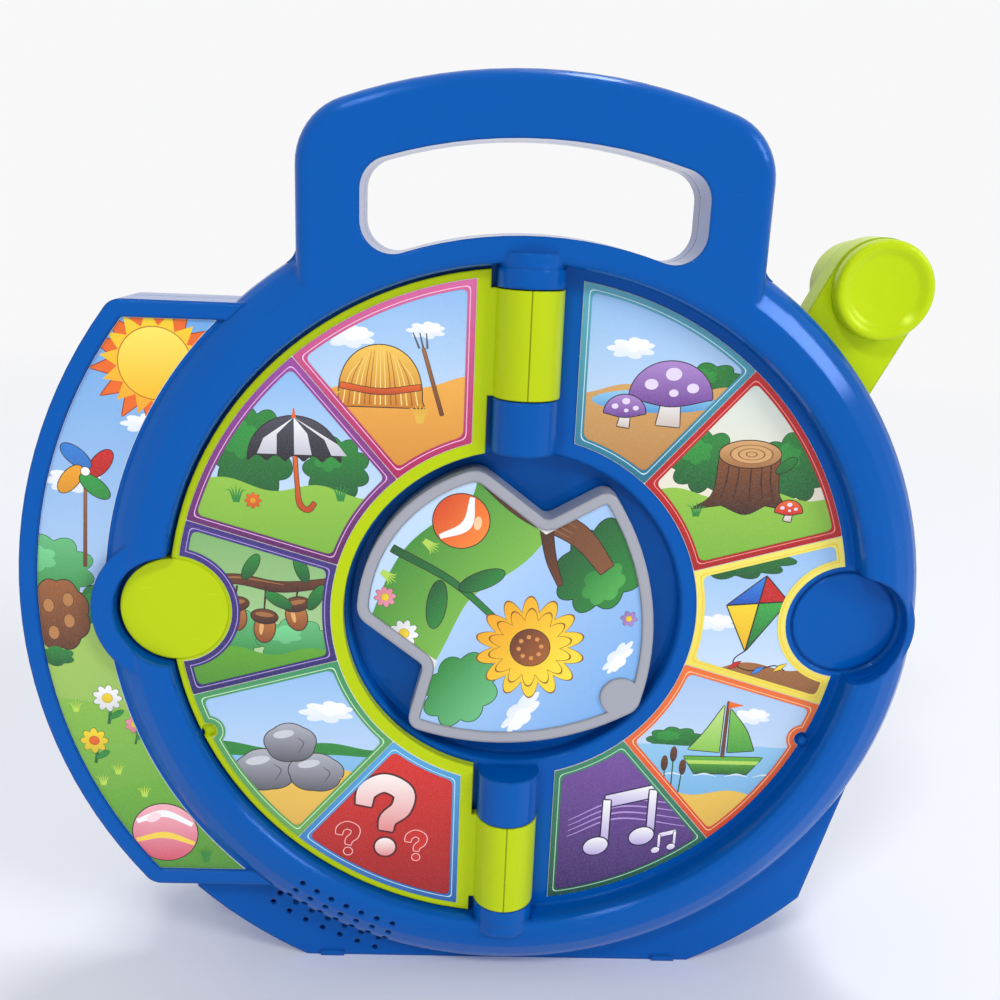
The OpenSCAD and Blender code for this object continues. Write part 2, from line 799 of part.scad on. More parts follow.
module page_front_shell() {
    color(lime) face() difference() {
        union() {
            slab(h_page_mid, h_page_front - label_t) page_2d();
            rod(tab_r, h_page_mid, h_page_front + tab_proud, -tab_x);
            page_web(h_page_mid, h_page_front - label_t);
            page_knuckles(h_page_mid, h_hinge + barrel_r + 1);
        }
        pin_bores();
        // pocket that takes the sensing button when the page is turned
        rod(sense_r + 0.8, h_page_mid, h_page_front + 1, -sense_x, sense_y);
    }
}

module page_back_shell() {
    color(lime) face() difference() {
        union() {
            slab(h_page_back + label_t, h_page_mid) page_2d();
            rod(tab_r, h_page_back, h_page_mid, -tab_x);
            page_web(h_page_back + label_t, h_page_mid);
            page_knuckles(h_hinge - barrel_r - 1, h_page_mid);
        }
        pin_bores();
    }
}

module page_label_2d() {
    difference() {
        half_ring_2d(label_in_r, label_r, label_edge_x, -1);
        translate([-tab_x, 0]) circle(r = tab_r + tab_clear);
    }
}

module page_front_label() {
    color(paper) face() slab(h_page_front - label_t, h_page_front) difference() {
        page_label_2d();
        translate([-sense_x, sense_y]) circle(r = sense_r + 1.2);
    }
}

module page_back_label() {
    color(paper) face() slab(h_page_back, h_page_back + label_t) page_label_2d();
}

// right half of the page's knuckles, closed over the pins
module page_hinge_caps() {
    color(lime) face() difference() {
        for (s = [0, 1]) mirror([0, s, 0])
            hinge_rod(barrel_r, knuckle_in, knuckle_out);
        translate([-2 * barrel_r, -disc_r, 0]) cube([2 * barrel_r, 2 * disc_r, h_crown * 2]);
        pin_bores();
    }
}

module hinge_pins() {
    color(steel) face() for (s = [0, 1]) mirror([0, s, 0])
        hinge_rod(pin_r, well_r + 3.5, recess_r + 3);
}

// ---- spinner ---------------------------------------------------------------

// arrow outline, pointing along +X, symmetric about the X axis: a round tail, straight
// neck, swept barbs and two arcs that meet over the tip's boss, every corner rounded
module arrow_2d(inset = 0) {
    w = tail_half_w;
    // slanted back edge of a barb: unit direction, and its offset along its normal
    run = [barb_x - neck_x, arrow_half_w - w];
    t = run / norm(run);
    off = neck_x * t[1] - w * t[0];
    by = arrow_half_w - barb_corner;
    bx = (off + barb_corner + by * t[0]) / t[1];
    fy = w + neck_fillet;
    fx = (off - neck_fillet + fy * t[0]) / t[1];
    // the side arc touches the barb's circle and the tip's circle
    rc = arrow_side_r - barb_corner;
    rt = arrow_side_r - tip_boss_r;
    tx = arrow_reach - tip_boss_r;
    d = sqrt(pow(tx - bx, 2) + by * by);
    m = (rc * rc - rt * rt + d * d) / (2 * d);
    q = sqrt(rc * rc - m * m);
    cx = bx + (tx - bx) * m / d - by * q / d;
    cy = by - by * m / d - (tx - bx) * q / d;
    a_barb = atan2(by - cy, bx - cx);
    a_tip = atan2(-cy, tx - cx);
    a_back = atan2(t[0], -t[1]);
    ky = w - tail_corner;
    kx = -sqrt(pow(tail_r - tail_corner, 2) - ky * ky);
    a_tail = atan2(ky, kx);
    top = concat(
        arc(tx, 0, tip_boss_r - inset, 0, a_tip, 6),
        arc(cx, cy, arrow_side_r - inset, a_tip, a_barb, 16),
        arc(bx, by, barb_corner - inset, a_barb, a_back, 6),
        arc(fx, fy, neck_fillet + inset, a_back - 180, -90, 6),
        arc(kx, ky, tail_corner - inset, 90, a_tail, 6),
        arc(0, 0, tail_r - inset, a_tail, 180, 10));
    polygon(concat(top, [for (i = [len(top) - 2 : -1 : 1]) [top[i][0], -top[i][1]]]));
}

module spinner_place() {
    face() rotate([0, 0, -arrow_angle]) children();
}

module spinner() {
    color(grey) spinner_place() {
        difference() {
            slab(h_well + 1.2, h_spinner) arrow_2d();
            slab(h_well, h_spinner - wall - 1) arrow_2d(2);
            difference() {
                slab(h_spinner - label_sink, h_spinner + 1) arrow_2d(spinner_rim);
                rod(tip_boss_r, h_well, h_spinner + 2, arrow_reach - tip_boss_r, 0);
            }
        }
        difference() {
            rod(shaft_r, h_shaft_end, h_spinner - wall - 0.9);
            rod(screw_r, h_shaft_end - 1, h_shaft_end + 8);
        }
        difference() {
            rod(shaft_r + 3, h_well + 0.4, h_spinner - wall - 0.9);
            rod(shaft_r - eps, h_well, h_spinner);
        }
    }
}

module spinner_label() {
    color(paper) spinner_place() slab(h_spinner - label_sink, h_spinner - label_sink + label_t) difference() {
        arrow_2d(spinner_rim + 0.2);
        translate([arrow_reach - tip_boss_r, 0]) circle(r = tip_boss_r + 0.2);
    }
}

// brush disc on the shaft's end
module spinner_wiper() {
    color(copper) spinner_place() difference() {
        union() {
            rod(wiper_r, h_shaft_end, h_wiper - 1);
            rod(shaft_r + 2, h_shaft_end, h_wiper);
            for (a = [0, 120, 240])
                rotate(a) translate([10, -1.5, h_wiper - 1]) cube([3, 3, 1]);
        }
        rod(shaft_r, h_shaft_end - 1, h_wiper + 1);
    }
}

module spinner_screw() {
    color(steel) spinner_place() screw(0, 0, h_shaft_end, 7);
    color(steel) spinner_place() difference() {
        rod(shaft_r + 1.5, h_shaft_end - 1, h_shaft_end);
        rod(screw_head_r - eps, h_shaft_end - 2, h_shaft_end + 1);
    }
}

module encoder_board() {
    color(board_green) face() difference() {
        rod(encoder_r, h_encoder, h_well_under);
        rod(hub_tube_r, h_encoder - 1, h_well_under + 1);
    }
}

// ---- lever -----------------------------------------------------------------

module lever_place(turn = 0) {
    face() translate([pivot_x, pivot_y, 0]) rotate([0, 0, lever_angle - turn]) children();
}

module lever() {
    color(lime) lever_place() difference() {
        union() {
            slab(arm_bottom, arm_top) {
                hull() {
                    translate([lever_len, 0]) circle(r = arm_w / 2);
                    translate([arm_taper, 0]) circle(r = arm_w / 2);
                }
                hull() {
                    translate([arm_taper, 0]) circle(r = arm_w / 2);
                    circle(r = hub_r);
                }
            }
            translate([lever_len, 0, knob_front - knob_len]) rotate_extrude()
                polygon([[0, 0], [knob_back_r - 1.5, 0], [knob_back_r, 1.5],
                    [knob_r - 0.4, knob_len - 5], [knob_r, knob_len - 4.6], [knob_r, knob_len - 1.6],
                    [knob_r - 0.5, knob_len - 0.4], [knob_r - 1.5, knob_len],
                    [knob_r - 2.6, knob_len - 0.2], [knob_r - 4.5, knob_len - 1.4],
                    [knob_r * 0.35, knob_len - 2.2], [0, knob_len - 2.4]]);
        }
        rod(pivot_r + run_gap, arm_bottom - 1, arm_top + 1);
    }
}

module lever_pivot_pin() {
    color(steel) face() rod(pivot_r, arm_bottom - 12, h_floor - 1, pivot_x, pivot_y);
}

// torsion spring on the pivot boss, with one leg against the switch post
module lever_return_spring() {
    color(steel) face() translate([pivot_x, pivot_y, 0]) {
        difference() {
            rod(8, arm_bottom - 7, arm_bottom - 0.8);
            rod(6.3, arm_bottom - 8, arm_bottom);
        }
        rotate(lever_angle - 90) translate([0, -7.9, arm_bottom - 3]) cube([20, 1.4, 1.4]);
    }
}

module lever_switch_place() {
    face_turn = lever_angle - lever_travel;
    switch_at = lever_len / 3;
    half = hub_r + (arm_w / 2 - hub_r) * switch_at / arm_taper;
    translate([pivot_x, pivot_y, 0]) rotate([0, 0, face_turn])
        translate([switch_at, -half - 4.6, 0]) children();
}

module lever_switch() {
    color(black) face() lever_switch_place() {
        block(0, -0.4, 12, 6, arm_bottom, arm_bottom + 7);
        block(2, 3, 2, 0.8, arm_bottom + 2, arm_bottom + 5);
    }
}

// ---- page sensing ------------------------------------------------------------

module page_sense_button() {
    color(blue) face() {
        rod(sense_r, h_under - 0.5, h_floor + sense_rise, sense_x, sense_y);
        rod(sense_flange_r, h_under - 1.8, h_under - 0.4, sense_x, sense_y);
    }
}

module page_sense_spring() {
    color(steel) face() difference() {
        rod(sense_flange_r - 0.2, h_under - 7.5, h_under - 2.1 - sense_travel, sense_x, sense_y);
        rod(sense_flange_r - 0.9, h_under - 8, h_under, sense_x, sense_y);
    }
}

module page_sense_switch() {
    color(black) face() {
        rod(sense_flange_r + 2, h_under - 11, h_under - 8, sense_x, sense_y);
        rod(sense_flange_r - 1.2, h_under - 8, h_under - 4.4, sense_x, sense_y);
        difference() {
            rod(sense_flange_r + 0.3, h_under - 8, h_under - 7.5, sense_x, sense_y);
            rod(sense_flange_r - 1.2 - eps, h_under - 9, h_under - 7, sense_x, sense_y);
        }
    }
}

// ---- electronics -------------------------------------------------------------

module main_board() {
    color(board_green) face() difference() {
        block(board_x + board_w / 2, board_y + board_h / 2, board_w, board_h, h_board, h_board + board_t);
        for (p = board_posts)
            rod(screw_r + 0.2, h_board - 1, h_board + board_t + 1, board_x + p[0], board_y + p[1]);
    }
}

module sound_chip() {
    color(black) face() {
        rod(board_w * 0.135, h_board - board_t * 1.1, h_board, board_x + board_w * 0.42, board_y + board_h / 3);
        block(board_x + board_w * 0.65, board_y + board_h * 0.7, board_w * 0.15, board_h * 0.18,
            h_board - board_t * 1.9, h_board);
        rod(board_w * 0.058, h_board - board_t * 5, h_board, board_x + board_w * 0.27, board_y + board_h * 0.7);
    }
}

module board_screws() {
    color(steel) face() for (p = board_posts)
        screw(board_x + p[0], board_y + p[1], h_board, board_screw_len);
}

module speaker_basket() {
    color(steel) face() translate([speaker_x, speaker_y, 0]) difference() {
        union() {
            rod(speaker_r, h_speaker - speaker_rim_t, h_speaker);
            translate([0, 0, h_speaker - speaker_cup_d]) cylinder(r1 = speaker_r * 0.6, r2 = speaker_r * 0.96,
                h = speaker_cup_d - speaker_rim_t + eps);
        }
        translate([0, 0, h_speaker - speaker_cup_d + speaker_sheet]) cylinder(r1 = speaker_r * 0.5,
            r2 = speaker_r * 0.896, h = speaker_cup_d - speaker_sheet + eps);
        rod(speaker_r * 0.5, h_speaker - speaker_cup_d - speaker_sheet, h_speaker - speaker_cup_d + 2 * speaker_sheet);
    }
}

module speaker_cone() {
    color(black) face() translate([speaker_x, speaker_y, h_speaker - 0.9 * speaker_cup_d]) rotate_extrude()
        polygon([[0, 3.2 * cone_k], [speaker_r * 0.24, 1.6 * cone_k], [speaker_r * 0.488, 0],
            [speaker_r * 0.876, 9.6 * cone_k], [speaker_r * 0.832, 9.6 * cone_k],
            [speaker_r * 0.44, 1.4 * cone_k], [speaker_r * 0.24, 3 * cone_k], [0, 4.6 * cone_k]]);
}

module speaker_magnet() {
    color(grey) face() translate([speaker_x, speaker_y, 0])
        rod(speaker_r * 0.62, h_speaker - speaker_d, h_speaker - speaker_cup_d);
}

// three small plates that hold the speaker's rim against the front
module speaker_clamps() {
    color(steel) face() for (a = [0, 120, 240])
        translate([speaker_x, speaker_y, 0]) rotate([0, 0, a + 70]) difference() {
            block(clamp_at - 0.8, 0, 1.92 * (clamp_at - speaker_r), clamp_w,
                h_speaker - speaker_rim_t - clamp_t, h_speaker - speaker_rim_t);
            rod(screw_r + 0.2, h_speaker - speaker_rim_t - clamp_t - 1, h_speaker, clamp_at, 0);
        }
}

module clamp_screws() {
    color(steel) face() for (a = [0, 120, 240])
        translate([speaker_x, speaker_y, 0]) rotate([0, 0, a + 70])
            screw(clamp_at, 0, h_speaker - speaker_rim_t, clamp_screw_len, -1);
}

// ---- power -------------------------------------------------------------------

function cell_y(i) = box_y - box_in_h / 2 + cell_gap + cell_d / 2 + i * cell_pitch;

module batteries() {
    color(black) face() for (i = [0 : cells - 1]) {
        flip = i % 2 == 0 ? 1 : -1;
        translate([box_x, cell_y(i), door_t + 0.4 + cell_d / 2]) rotate([0, 90, 0]) {
            translate([0, 0, -cell_len / 2 + 0.4]) cylinder(d = cell_d, h = cell_len - 0.8);
            translate([0, 0, flip > 0 ? cell_len / 2 - 0.5 : -cell_len / 2 - 0.5])
                cylinder(d = 5.2, h = 1);
        }
    }
}

module battery_contacts() {
    color(steel) face() for (i = [0 : cells - 1], s = [-1, 1])
        translate([box_x + s * (box_in_w / 2 - contact_t / 2), cell_y(i), 0]) {
            block(0, 0, contact_t, cell_d - 3, door_t + 2, box_depth - 1);
            translate([-s * contact_t / 2, 0, door_t + 0.4 + cell_d / 2]) rotate([0, -s * 90, 0])
                cylinder(r1 = 4, r2 = 3, h = spring_gap - contact_t - 0.3);
        }
}

module battery_door() {
    color(blue) face() difference() {
        union() {
            block(box_x, box_y + 4, box_in_w + 2 * door_lip - 2 * door_gap,
                box_in_h + 2 * door_lip + 8 - 2 * door_gap, 0, door_t);
        }
        rod(screw_r + 0.2, -1, door_t + 1, box_x, box_y + door_screw_y);
        rod(screw_head_r + 0.3, -1, 1.2, box_x, box_y + door_screw_y);
        for (k = [0 : 4])
            block(box_x, box_y - box_in_h / 2 + 3 + 3 * k, 24, 1.2, -1, 0.6);
    }
}

module battery_door_screw() {
    color(steel) face() difference() {
        union() {
            rod(screw_head_r, 0.1, 1.2, box_x, box_y + door_screw_y);
            rod(screw_r, 1.1, 11, box_x, box_y + door_screw_y);
        }
        block(box_x, box_y + door_screw_y, 3.6, 0.8, 0, 0.7);
    }
}

module power_switch_knob() {
    color(blue) face() {
        block(power_x, power_y, power_knob[0], power_knob[1], 0.4, power_pocket_d - 0.3);
        block(power_x, power_y, power_stem[0], power_stem[1], power_pocket_d - 0.4,
            power_pocket_d + power_wall + 2);
    }
}

module power_switch_body() {
    color(steel) face() difference() {
        block(power_x, power_y, power_pocket[0] - 1, 9, power_pocket_d + power_wall,
            power_pocket_d + power_wall + 6);
        block(power_x, power_y, power_stem[0] + 2 * switch_travel + 0.8, power_stem[1] + 0.8,
            power_pocket_d, power_pocket_d + power_wall + 2.6);
    }
}

// ---- drawing -------------------------------------------------------------------

front_housing();
rear_housing();
housing_screws();
side_panel_label();
right_floor_label();
left_floor_label();
page_front_shell();
page_back_shell();
page_front_label();
page_back_label();
page_hinge_caps();
hinge_pins();
spinner();
spinner_label();
spinner_wiper();
spinner_screw();
encoder_board();
lever();
lever_pivot_pin();
lever_return_spring();
lever_switch();
page_sense_button();
page_sense_spring();
page_sense_switch();
main_board();
sound_chip();
board_screws();
speaker_basket();
speaker_cone();
speaker_magnet();
speaker_clamps();
clamp_screws();
batteries();
battery_contacts();
battery_door();
battery_door_screw();
power_switch_knob();
power_switch_body();
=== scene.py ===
import bpy
import numpy as np
from mathutils import Matrix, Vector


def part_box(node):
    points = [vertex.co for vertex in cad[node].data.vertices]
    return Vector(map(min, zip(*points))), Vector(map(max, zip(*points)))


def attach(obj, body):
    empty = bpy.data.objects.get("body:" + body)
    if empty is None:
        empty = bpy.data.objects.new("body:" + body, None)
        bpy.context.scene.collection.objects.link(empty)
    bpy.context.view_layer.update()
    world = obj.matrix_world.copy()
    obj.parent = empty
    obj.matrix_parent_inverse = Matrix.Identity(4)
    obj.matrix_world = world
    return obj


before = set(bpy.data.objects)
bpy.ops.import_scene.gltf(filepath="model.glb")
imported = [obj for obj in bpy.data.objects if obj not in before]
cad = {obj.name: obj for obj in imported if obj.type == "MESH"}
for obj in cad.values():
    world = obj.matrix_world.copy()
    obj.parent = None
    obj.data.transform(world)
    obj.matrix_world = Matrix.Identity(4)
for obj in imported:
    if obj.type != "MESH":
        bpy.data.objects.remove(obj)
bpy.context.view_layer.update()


# ---- Blue housings -----------------------------------
# Two glossy injection-moulded halves in process blue plastic, screwed together from
# behind. The moulding leaves a faint orange-peel skin, softened edges, a parting line
# and, with use, fine rubbing marks.

MM = 0.001


class Wire:
    """One output socket; arithmetic on it adds Math nodes."""

    def __init__(self, finish, socket):
        self.finish, self.socket = finish, socket

    def math(self, operation, *others):
        return self.finish.add("ShaderNodeMath", {"operation": operation}, self, *others)

    def __add__(self, other):
        return self.math("ADD", other)

    def __sub__(self, other):
        return self.math("SUBTRACT", other)

    def __rsub__(self, other):
        return self.finish.add("ShaderNodeMath", {"operation": "SUBTRACT"}, other, self)

    def __mul__(self, other):
        return self.math("MULTIPLY", other)

    __radd__ = __add__
    __rmul__ = __mul__

    def above(self, edge, soft):
        """0 below the edge, 1 above it, with a ramp of width soft between."""
        return self.finish.add("ShaderNodeMath", {"operation": "MULTIPLY", "use_clamp": True},
                               self - (edge - soft / 2), 1 / soft)


class Finish:
    """A material: a Principled shader and the nodes that drive it."""

    def __init__(self, name, colour, rough, metal=0.0, coat=0.0):
        self.material = bpy.data.materials.new(name)
        self.material.use_nodes = True
        self.tree = self.material.node_tree
        self.shader = self.tree.nodes["Principled BSDF"]
        for socket, value in (("Base Color", (*colour, 1)), ("Roughness", rough),
                              ("Metallic", metal), ("Coat Weight", coat), ("Coat Roughness", 0.08)):
            self.shader.inputs[socket].default_value = value
        self.place = self.add("ShaderNodeTexCoord", {}, out="Object")

    def feed(self, socket, value):
        """Links a socket to a wire, or sets its constant."""
        if isinstance(value, Wire):
            self.tree.links.new(value.socket, socket)
        else:
            socket.default_value = value

    def add(self, kind, settings, *values, out=0, **named):
        """Adds a node: its settings first, then the values or links of its sockets."""
        node = self.tree.nodes.new(kind)
        for key, value in settings.items():
            setattr(node, key, value)
        for socket, value in list(zip(node.inputs, values)) + [(node.inputs[k], v) for k, v in named.items()]:
            self.feed(socket, value)
        return Wire(self, node.outputs[out])

    def noise(self, scale, detail=2.0, where=None):
        return self.add("ShaderNodeTexNoise", {}, Vector=where or self.place, Scale=scale, Detail=detail)

    def along(self, axis):
        """The place along one axis: 0, 1 or 2 for X, Y or Z."""
        return self.add("ShaderNodeSeparateXYZ", {}, self.place, out=axis)

    def bumps(self, height, strength, distance, **more):
        return self.add("ShaderNodeBump", {}, Strength=strength, Distance=distance, Height=height, **more)

    def stretched(self, x, y, z):
        """The place, scaled apart along the three axes."""
        return self.add("ShaderNodeVectorMath", {"operation": "MULTIPLY"}, self.place, (x, y, z))

    def blend(self, factor, first, second):
        """Colour from first to second as factor goes from 0 to 1."""
        node = self.tree.nodes.new("ShaderNodeMix")
        node.data_type = "RGBA"
        self.feed(node.inputs[0], factor)
        for socket, colour in ((node.inputs[6], first), (node.inputs[7], second)):
            self.feed(socket, colour if isinstance(colour, Wire) else (*colour, 1))
        return Wire(self, node.outputs[2])

    def drive(self, **sockets):
        for name, wire in sockets.items():
            self.tree.links.new(wire.socket, self.shader.inputs[name.replace("_", " ")])
        return self


def rgb(r, g, b):
    """A screen colour, 0 to 255, as linear light."""
    c = np.array([r, g, b], float) / 255
    return tuple(np.where(c < 0.04045, c / 12.92, ((c + 0.055) / 1.055) ** 2.4))


def toned(colour, factor, lift=0.0):
    """The colour times factor plus lift, held at 1."""
    return tuple(min(1, factor * c + lift) for c in colour)


def moulded(name, colour, rough, edge, seam_y=None):
    """Glossy moulded plastic: even colour with slight flow shading, orange-peel skin,
    edges rounded by so many mm, rubbing marks, and a dark parting line where y = seam_y."""
    f = Finish(name, colour, rough)
    f.shader.inputs["Specular IOR Level"].default_value = 0.5
    f.shader.inputs["Specular Tint"].default_value = (*toned(colour, 0.78 / max(colour), 0.22), 1)
    flow = f.noise(14.0, 3.0, f.stretched(1.0, 1.0, 0.45))
    rubs = f.noise(900.0, 3.0, f.stretched(0.1, 1.0, 0.6)).above(0.7, 0.08)
    rubs = rubs * f.noise(31.0, 2.0).above(0.55, 0.2)
    dust = f.noise(2600.0, 1.0).above(0.74, 0.05)
    body = f.blend(flow.above(0.5, 0.9), toned(colour, 0.9), toned(colour, 1.06))
    body = f.blend(rubs * 0.035 + dust * 0.02, body, toned(colour, 0.6, 0.3))
    if seam_y is not None:
        seam = 1 - (f.along(1) - seam_y).math("ABSOLUTE").above(0.00016, 0.00012)
        body = f.blend(seam * 0.55, body, toned(colour, 0.25))
    skin = f.noise(520.0, 2.0) * 0.5 + f.noise(60.0, 2.0) * 0.8
    soft = f.add("ShaderNodeBevel", {"samples": 4}, edge * MM)
    return f.drive(Base_Color=body, Roughness=rubs * 0.1 + flow * 0.07 + (rough - 0.03),
                   Normal=f.bumps(skin, 0.035, 0.0012, Normal=soft))


def dress(finish, *nodes):
    """Gives CAD nodes a finish in place of their plain one."""
    for node in nodes:
        slots = cad[node].data.materials
        slots.clear()
        slots.append(finish.material)


PARTING_Y = -0.0250         # plane in which the two housings meet, m
blue = moulded("blue moulded plastic", rgb(0, 88, 174), 0.13, edge=1.6, seam_y=PARTING_Y)
dress(blue, "front_housing", "rear_housing", "page_sense_button", "battery_door", "power_switch_knob")


# ---- Page, hinge knuckles and pull lever -------------
# The book page is two thin shells with the prints let into both faces; its knuckles
# close round the pins with a cap, which leaves a seam up the barrel. The same lime
# plastic makes the lever with its dished knob.

lime = moulded("lime moulded plastic", rgb(192, 214, 18), 0.26, edge=0.8)
barrel_seam = 1 - lime.along(0).math("ABSOLUTE").above(0.00022, 0.00014)
tinted = lime.shader.inputs["Base Color"].links[0].from_socket
lime.drive(Base_Color=lime.blend(barrel_seam * 0.6, Wire(lime, tinted), rgb(96, 112, 8)))
dress(lime, "page_front_shell", "page_back_shell", "page_hinge_caps")
lever_lime = moulded("lever lime plastic", rgb(196, 222, 16), 0.26, edge=1.6)
dress(lever_lime, "lever")


# ---- Spinner -----------------------------------------
# A satin grey moulding in the shape of a broad arrow, with a raised rim round the sunk
# picture. A screw from behind holds it on its shaft in the well.

grey = moulded("grey moulded plastic", rgb(168, 170, 178), 0.28, edge=1.4)
dress(grey, "spinner")


# ---- Metal and electrical pieces ---------------------
# Zinc-plated screws, pins and springs, phosphor-bronze wiper, boards with solder mask,
# a ferrite magnet and the dark switch bodies. Most of them sit inside the housing.

def metal(name, colour, rough):
    """Plated metal: drawn streaks in the roughness and a fine grain."""
    f = Finish(name, colour, rough, metal=1.0)
    streak = f.noise(900.0, 3.0, f.stretched(1.0, 0.08, 1.0))
    tarnish = f.noise(160.0, 3.0)
    return f.drive(Base_Color=f.blend(tarnish.above(0.55, 0.3) * 0.35, colour, toned(colour, 0.55)),
                   Roughness=streak * 0.25 + (rough - 0.1), Normal=f.bumps(streak, 0.1, 0.0002))


def matt(name, colour, rough, second, scale):
    """A matt surface with a fine mottle of a second colour."""
    f = Finish(name, colour, rough)
    mottle = f.noise(scale, 3.0)
    return f.drive(Base_Color=f.blend(mottle.above(0.56, 0.1), colour, second),
                   Roughness=mottle * 0.2 + (rough - 0.1), Normal=f.bumps(mottle, 0.15, 0.0003))


dress(metal("zinc plate", rgb(190, 192, 196), 0.32), "housing_screws", "hinge_pins", "spinner_screw",
      "lever_pivot_pin", "lever_return_spring", "page_sense_spring", "board_screws", "speaker_basket",
      "speaker_clamps", "clamp_screws", "battery_contacts", "battery_door_screw", "power_switch_body")
dress(metal("spring bronze", rgb(205, 150, 90), 0.3), "spinner_wiper")
dress(matt("solder mask", rgb(18, 92, 44), 0.4, rgb(34, 122, 62), 700.0), "main_board", "encoder_board")
dress(matt("black moulding", rgb(26, 26, 28), 0.5, rgb(38, 38, 41), 1500.0), "sound_chip", "lever_switch",
      "page_sense_switch")
dress(matt("paper cone", rgb(40, 38, 38), 0.8, rgb(58, 56, 54), 2200.0), "speaker_cone")
dress(matt("ferrite", rgb(66, 66, 68), 0.7, rgb(84, 84, 86), 1800.0), "speaker_magnet")
dress(matt("cell jacket", rgb(52, 52, 58), 0.35, rgb(70, 70, 78), 300.0), "batteries")


# ---- Printed film ------------------------------------
# Die-cut picture labels on coated film, stuck into shallow recesses. Each picture is
# built like a screen print: flat inks laid over each other, thin keylines on top.

AXIS_Z = 133.0      # height of the disc's axis, mm
film = Finish("label film", rgb(236, 236, 230), 0.32)
film_grain = film.noise(2400.0, 2.0)
film.drive(Base_Color=film.blend(film_grain, rgb(228, 229, 224), rgb(240, 240, 235)),
           Roughness=film_grain * 0.1 + 0.27)
dress(film, "side_panel_label", "right_floor_label", "left_floor_label", "page_front_label",
      "page_back_label", "spinner_label")


def inked(name, hole=None):
    """Ink on film: the piece's own paint under a fine print screen. The film is cut away
    in a round hole (x, height above the disc's axis, radius)."""
    f = Finish(name, (0.5, 0.5, 0.5), 0.3, coat=0.12)
    f.shader.inputs["Specular IOR Level"].default_value = 0.35
    paint = f.add("ShaderNodeVertexColor", {"layer_name": "paint"})
    screen = f.noise(3200.0, 1.0)
    sheen = f.noise(45.0, 2.0)
    f.drive(Base_Color=f.blend(screen.above(0.55, 0.25) * 0.04, paint, (1.0, 1.0, 1.0)),
            Roughness=sheen * 0.08 + 0.22, Normal=f.bumps(sheen, 0.03, 0.0004))
    if hole:
        x, z = f.along(0) - hole[0] * MM, f.along(2) - (AXIS_Z + hole[1]) * MM
        f.drive(Alpha=(x * x + z * z).math("SQRT").above(hole[2] * MM, 0.00008))
    return f


def xy(a, b):
    return np.stack([a, b], 1)


def cut(points, normal, limit):
    """Keeps the part of a polygon where normal . p <= limit."""
    d = points @ np.asarray(normal, float) - limit
    inside = d <= 0
    crosses = inside != np.roll(inside, -1)
    t = np.where(crosses, d / np.where(crosses, d - np.roll(d, -1), 1), 0)[:, None]
    crossing = points + t * (np.roll(points, -1, 0) - points)
    both = xy(points, crossing).reshape(-1, 2)
    return both[xy(inside, crosses).ravel()]


def dense(points, step=0.9):
    """Adds points along every edge, no further apart than step."""
    following = np.roll(points, -1, 0)
    parts = np.ceil(np.linalg.norm(following - points, axis=1) / step).astype(int).clip(1)
    edge = np.repeat(np.arange(len(points)), parts)
    t = (np.arange(parts.sum()) - np.repeat(np.cumsum(parts) - parts, parts)) / parts[edge]
    return points[edge] + t[:, None] * (following - points)[edge]


POLAR = 100.0       # radius in mm at which an angle counts as much as a distance


def polar_cut(points, toward, limits):
    """Clips to a ring sector: angles are counted from the direction toward (1 or -1 on X)
    and limits are (angle factor, radius factor, limit). Edges get points to stay round."""
    points = dense(points, 1.2)
    q = xy(POLAR * np.arctan2(points[:, 1], toward * points[:, 0]), np.hypot(points[:, 0], points[:, 1]))
    for a, r, limit in limits:
        q = cut(q, (a, r), limit * POLAR if a else limit)
        if len(q) < 3:
            return q
    q = dense(q, 1.2)
    return xy(toward * q[:, 1] * np.cos(q[:, 0] / POLAR), q[:, 1] * np.sin(q[:, 0] / POLAR))


def outside(points, centre, facing, radius):
    """Clips a round bite out of a shape that lies inwards of the bite's centre
    (facing -1) or outwards of it (facing 1), seen from the disc's axis."""
    if len(points) < 3 or np.linalg.norm(points - centre, axis=1).min() > radius + 1:
        return points
    c, s = facing * np.asarray(centre) / np.linalg.norm(centre)
    turn = np.array([[c, -s], [s, c]])
    kept = polar_cut((points - centre) @ turn, 1, ((0, -1, -radius),)) @ turn.T + centre
    return kept[np.linalg.norm(kept - np.roll(kept, -1, 0), axis=1) > 1e-3] if len(kept) > 2 else kept


def oval(cx, cy, rx, ry=None, turn=0.0, n=48):
    """Ellipse with its long axis turned by so many degrees."""
    t = np.linspace(0, 2 * np.pi, n, endpoint=False)
    p = xy(rx * np.cos(t), (ry or rx) * np.sin(t))
    c, s = np.cos(np.radians(turn)), np.sin(np.radians(turn))
    return p @ np.array([[c, s], [-s, c]]) + (cx, cy)


def puffs(cx, cy, rx, ry, count, depth=0.22, phase=0.0, n=120):
    """Ellipse whose edge swells into round lobes: radius times 1 - depth + depth |sin|."""
    t = np.linspace(0, 2 * np.pi, n, endpoint=False)
    r = 1 - depth + depth * np.abs(np.sin(count * t / 2 + phase))
    return xy(cx + rx * r * np.cos(t), cy + ry * r * np.sin(t))


def spiky(cx, cy, outer, inner, count, phase=0.0):
    """Star: the radius alternates between outer and inner."""
    t = np.arange(2 * count) * np.pi / count + phase
    r = np.where(np.arange(2 * count) % 2 == 0, outer, inner)
    return xy(cx + r * np.cos(t), cy + r * np.sin(t))


def flow_line(points, n=40):
    """Smooth line through a few points: cubic blends of neighbouring spans."""
    p = np.asarray(points, float)
    q = np.vstack([2 * p[0] - p[1], p, 2 * p[-1] - p[-2]])
    u = np.linspace(0, len(p) - 1 - 1e-9, n)
    i = u.astype(int)
    t = (u - i)[:, None]
    a, b, c, d = q[i], q[i + 1], q[i + 2], q[i + 3]
    return b + 0.5 * t * (c - a + t * (2 * a - 5 * b + 4 * c - d + t * (3 * b - a - 3 * c + d)))


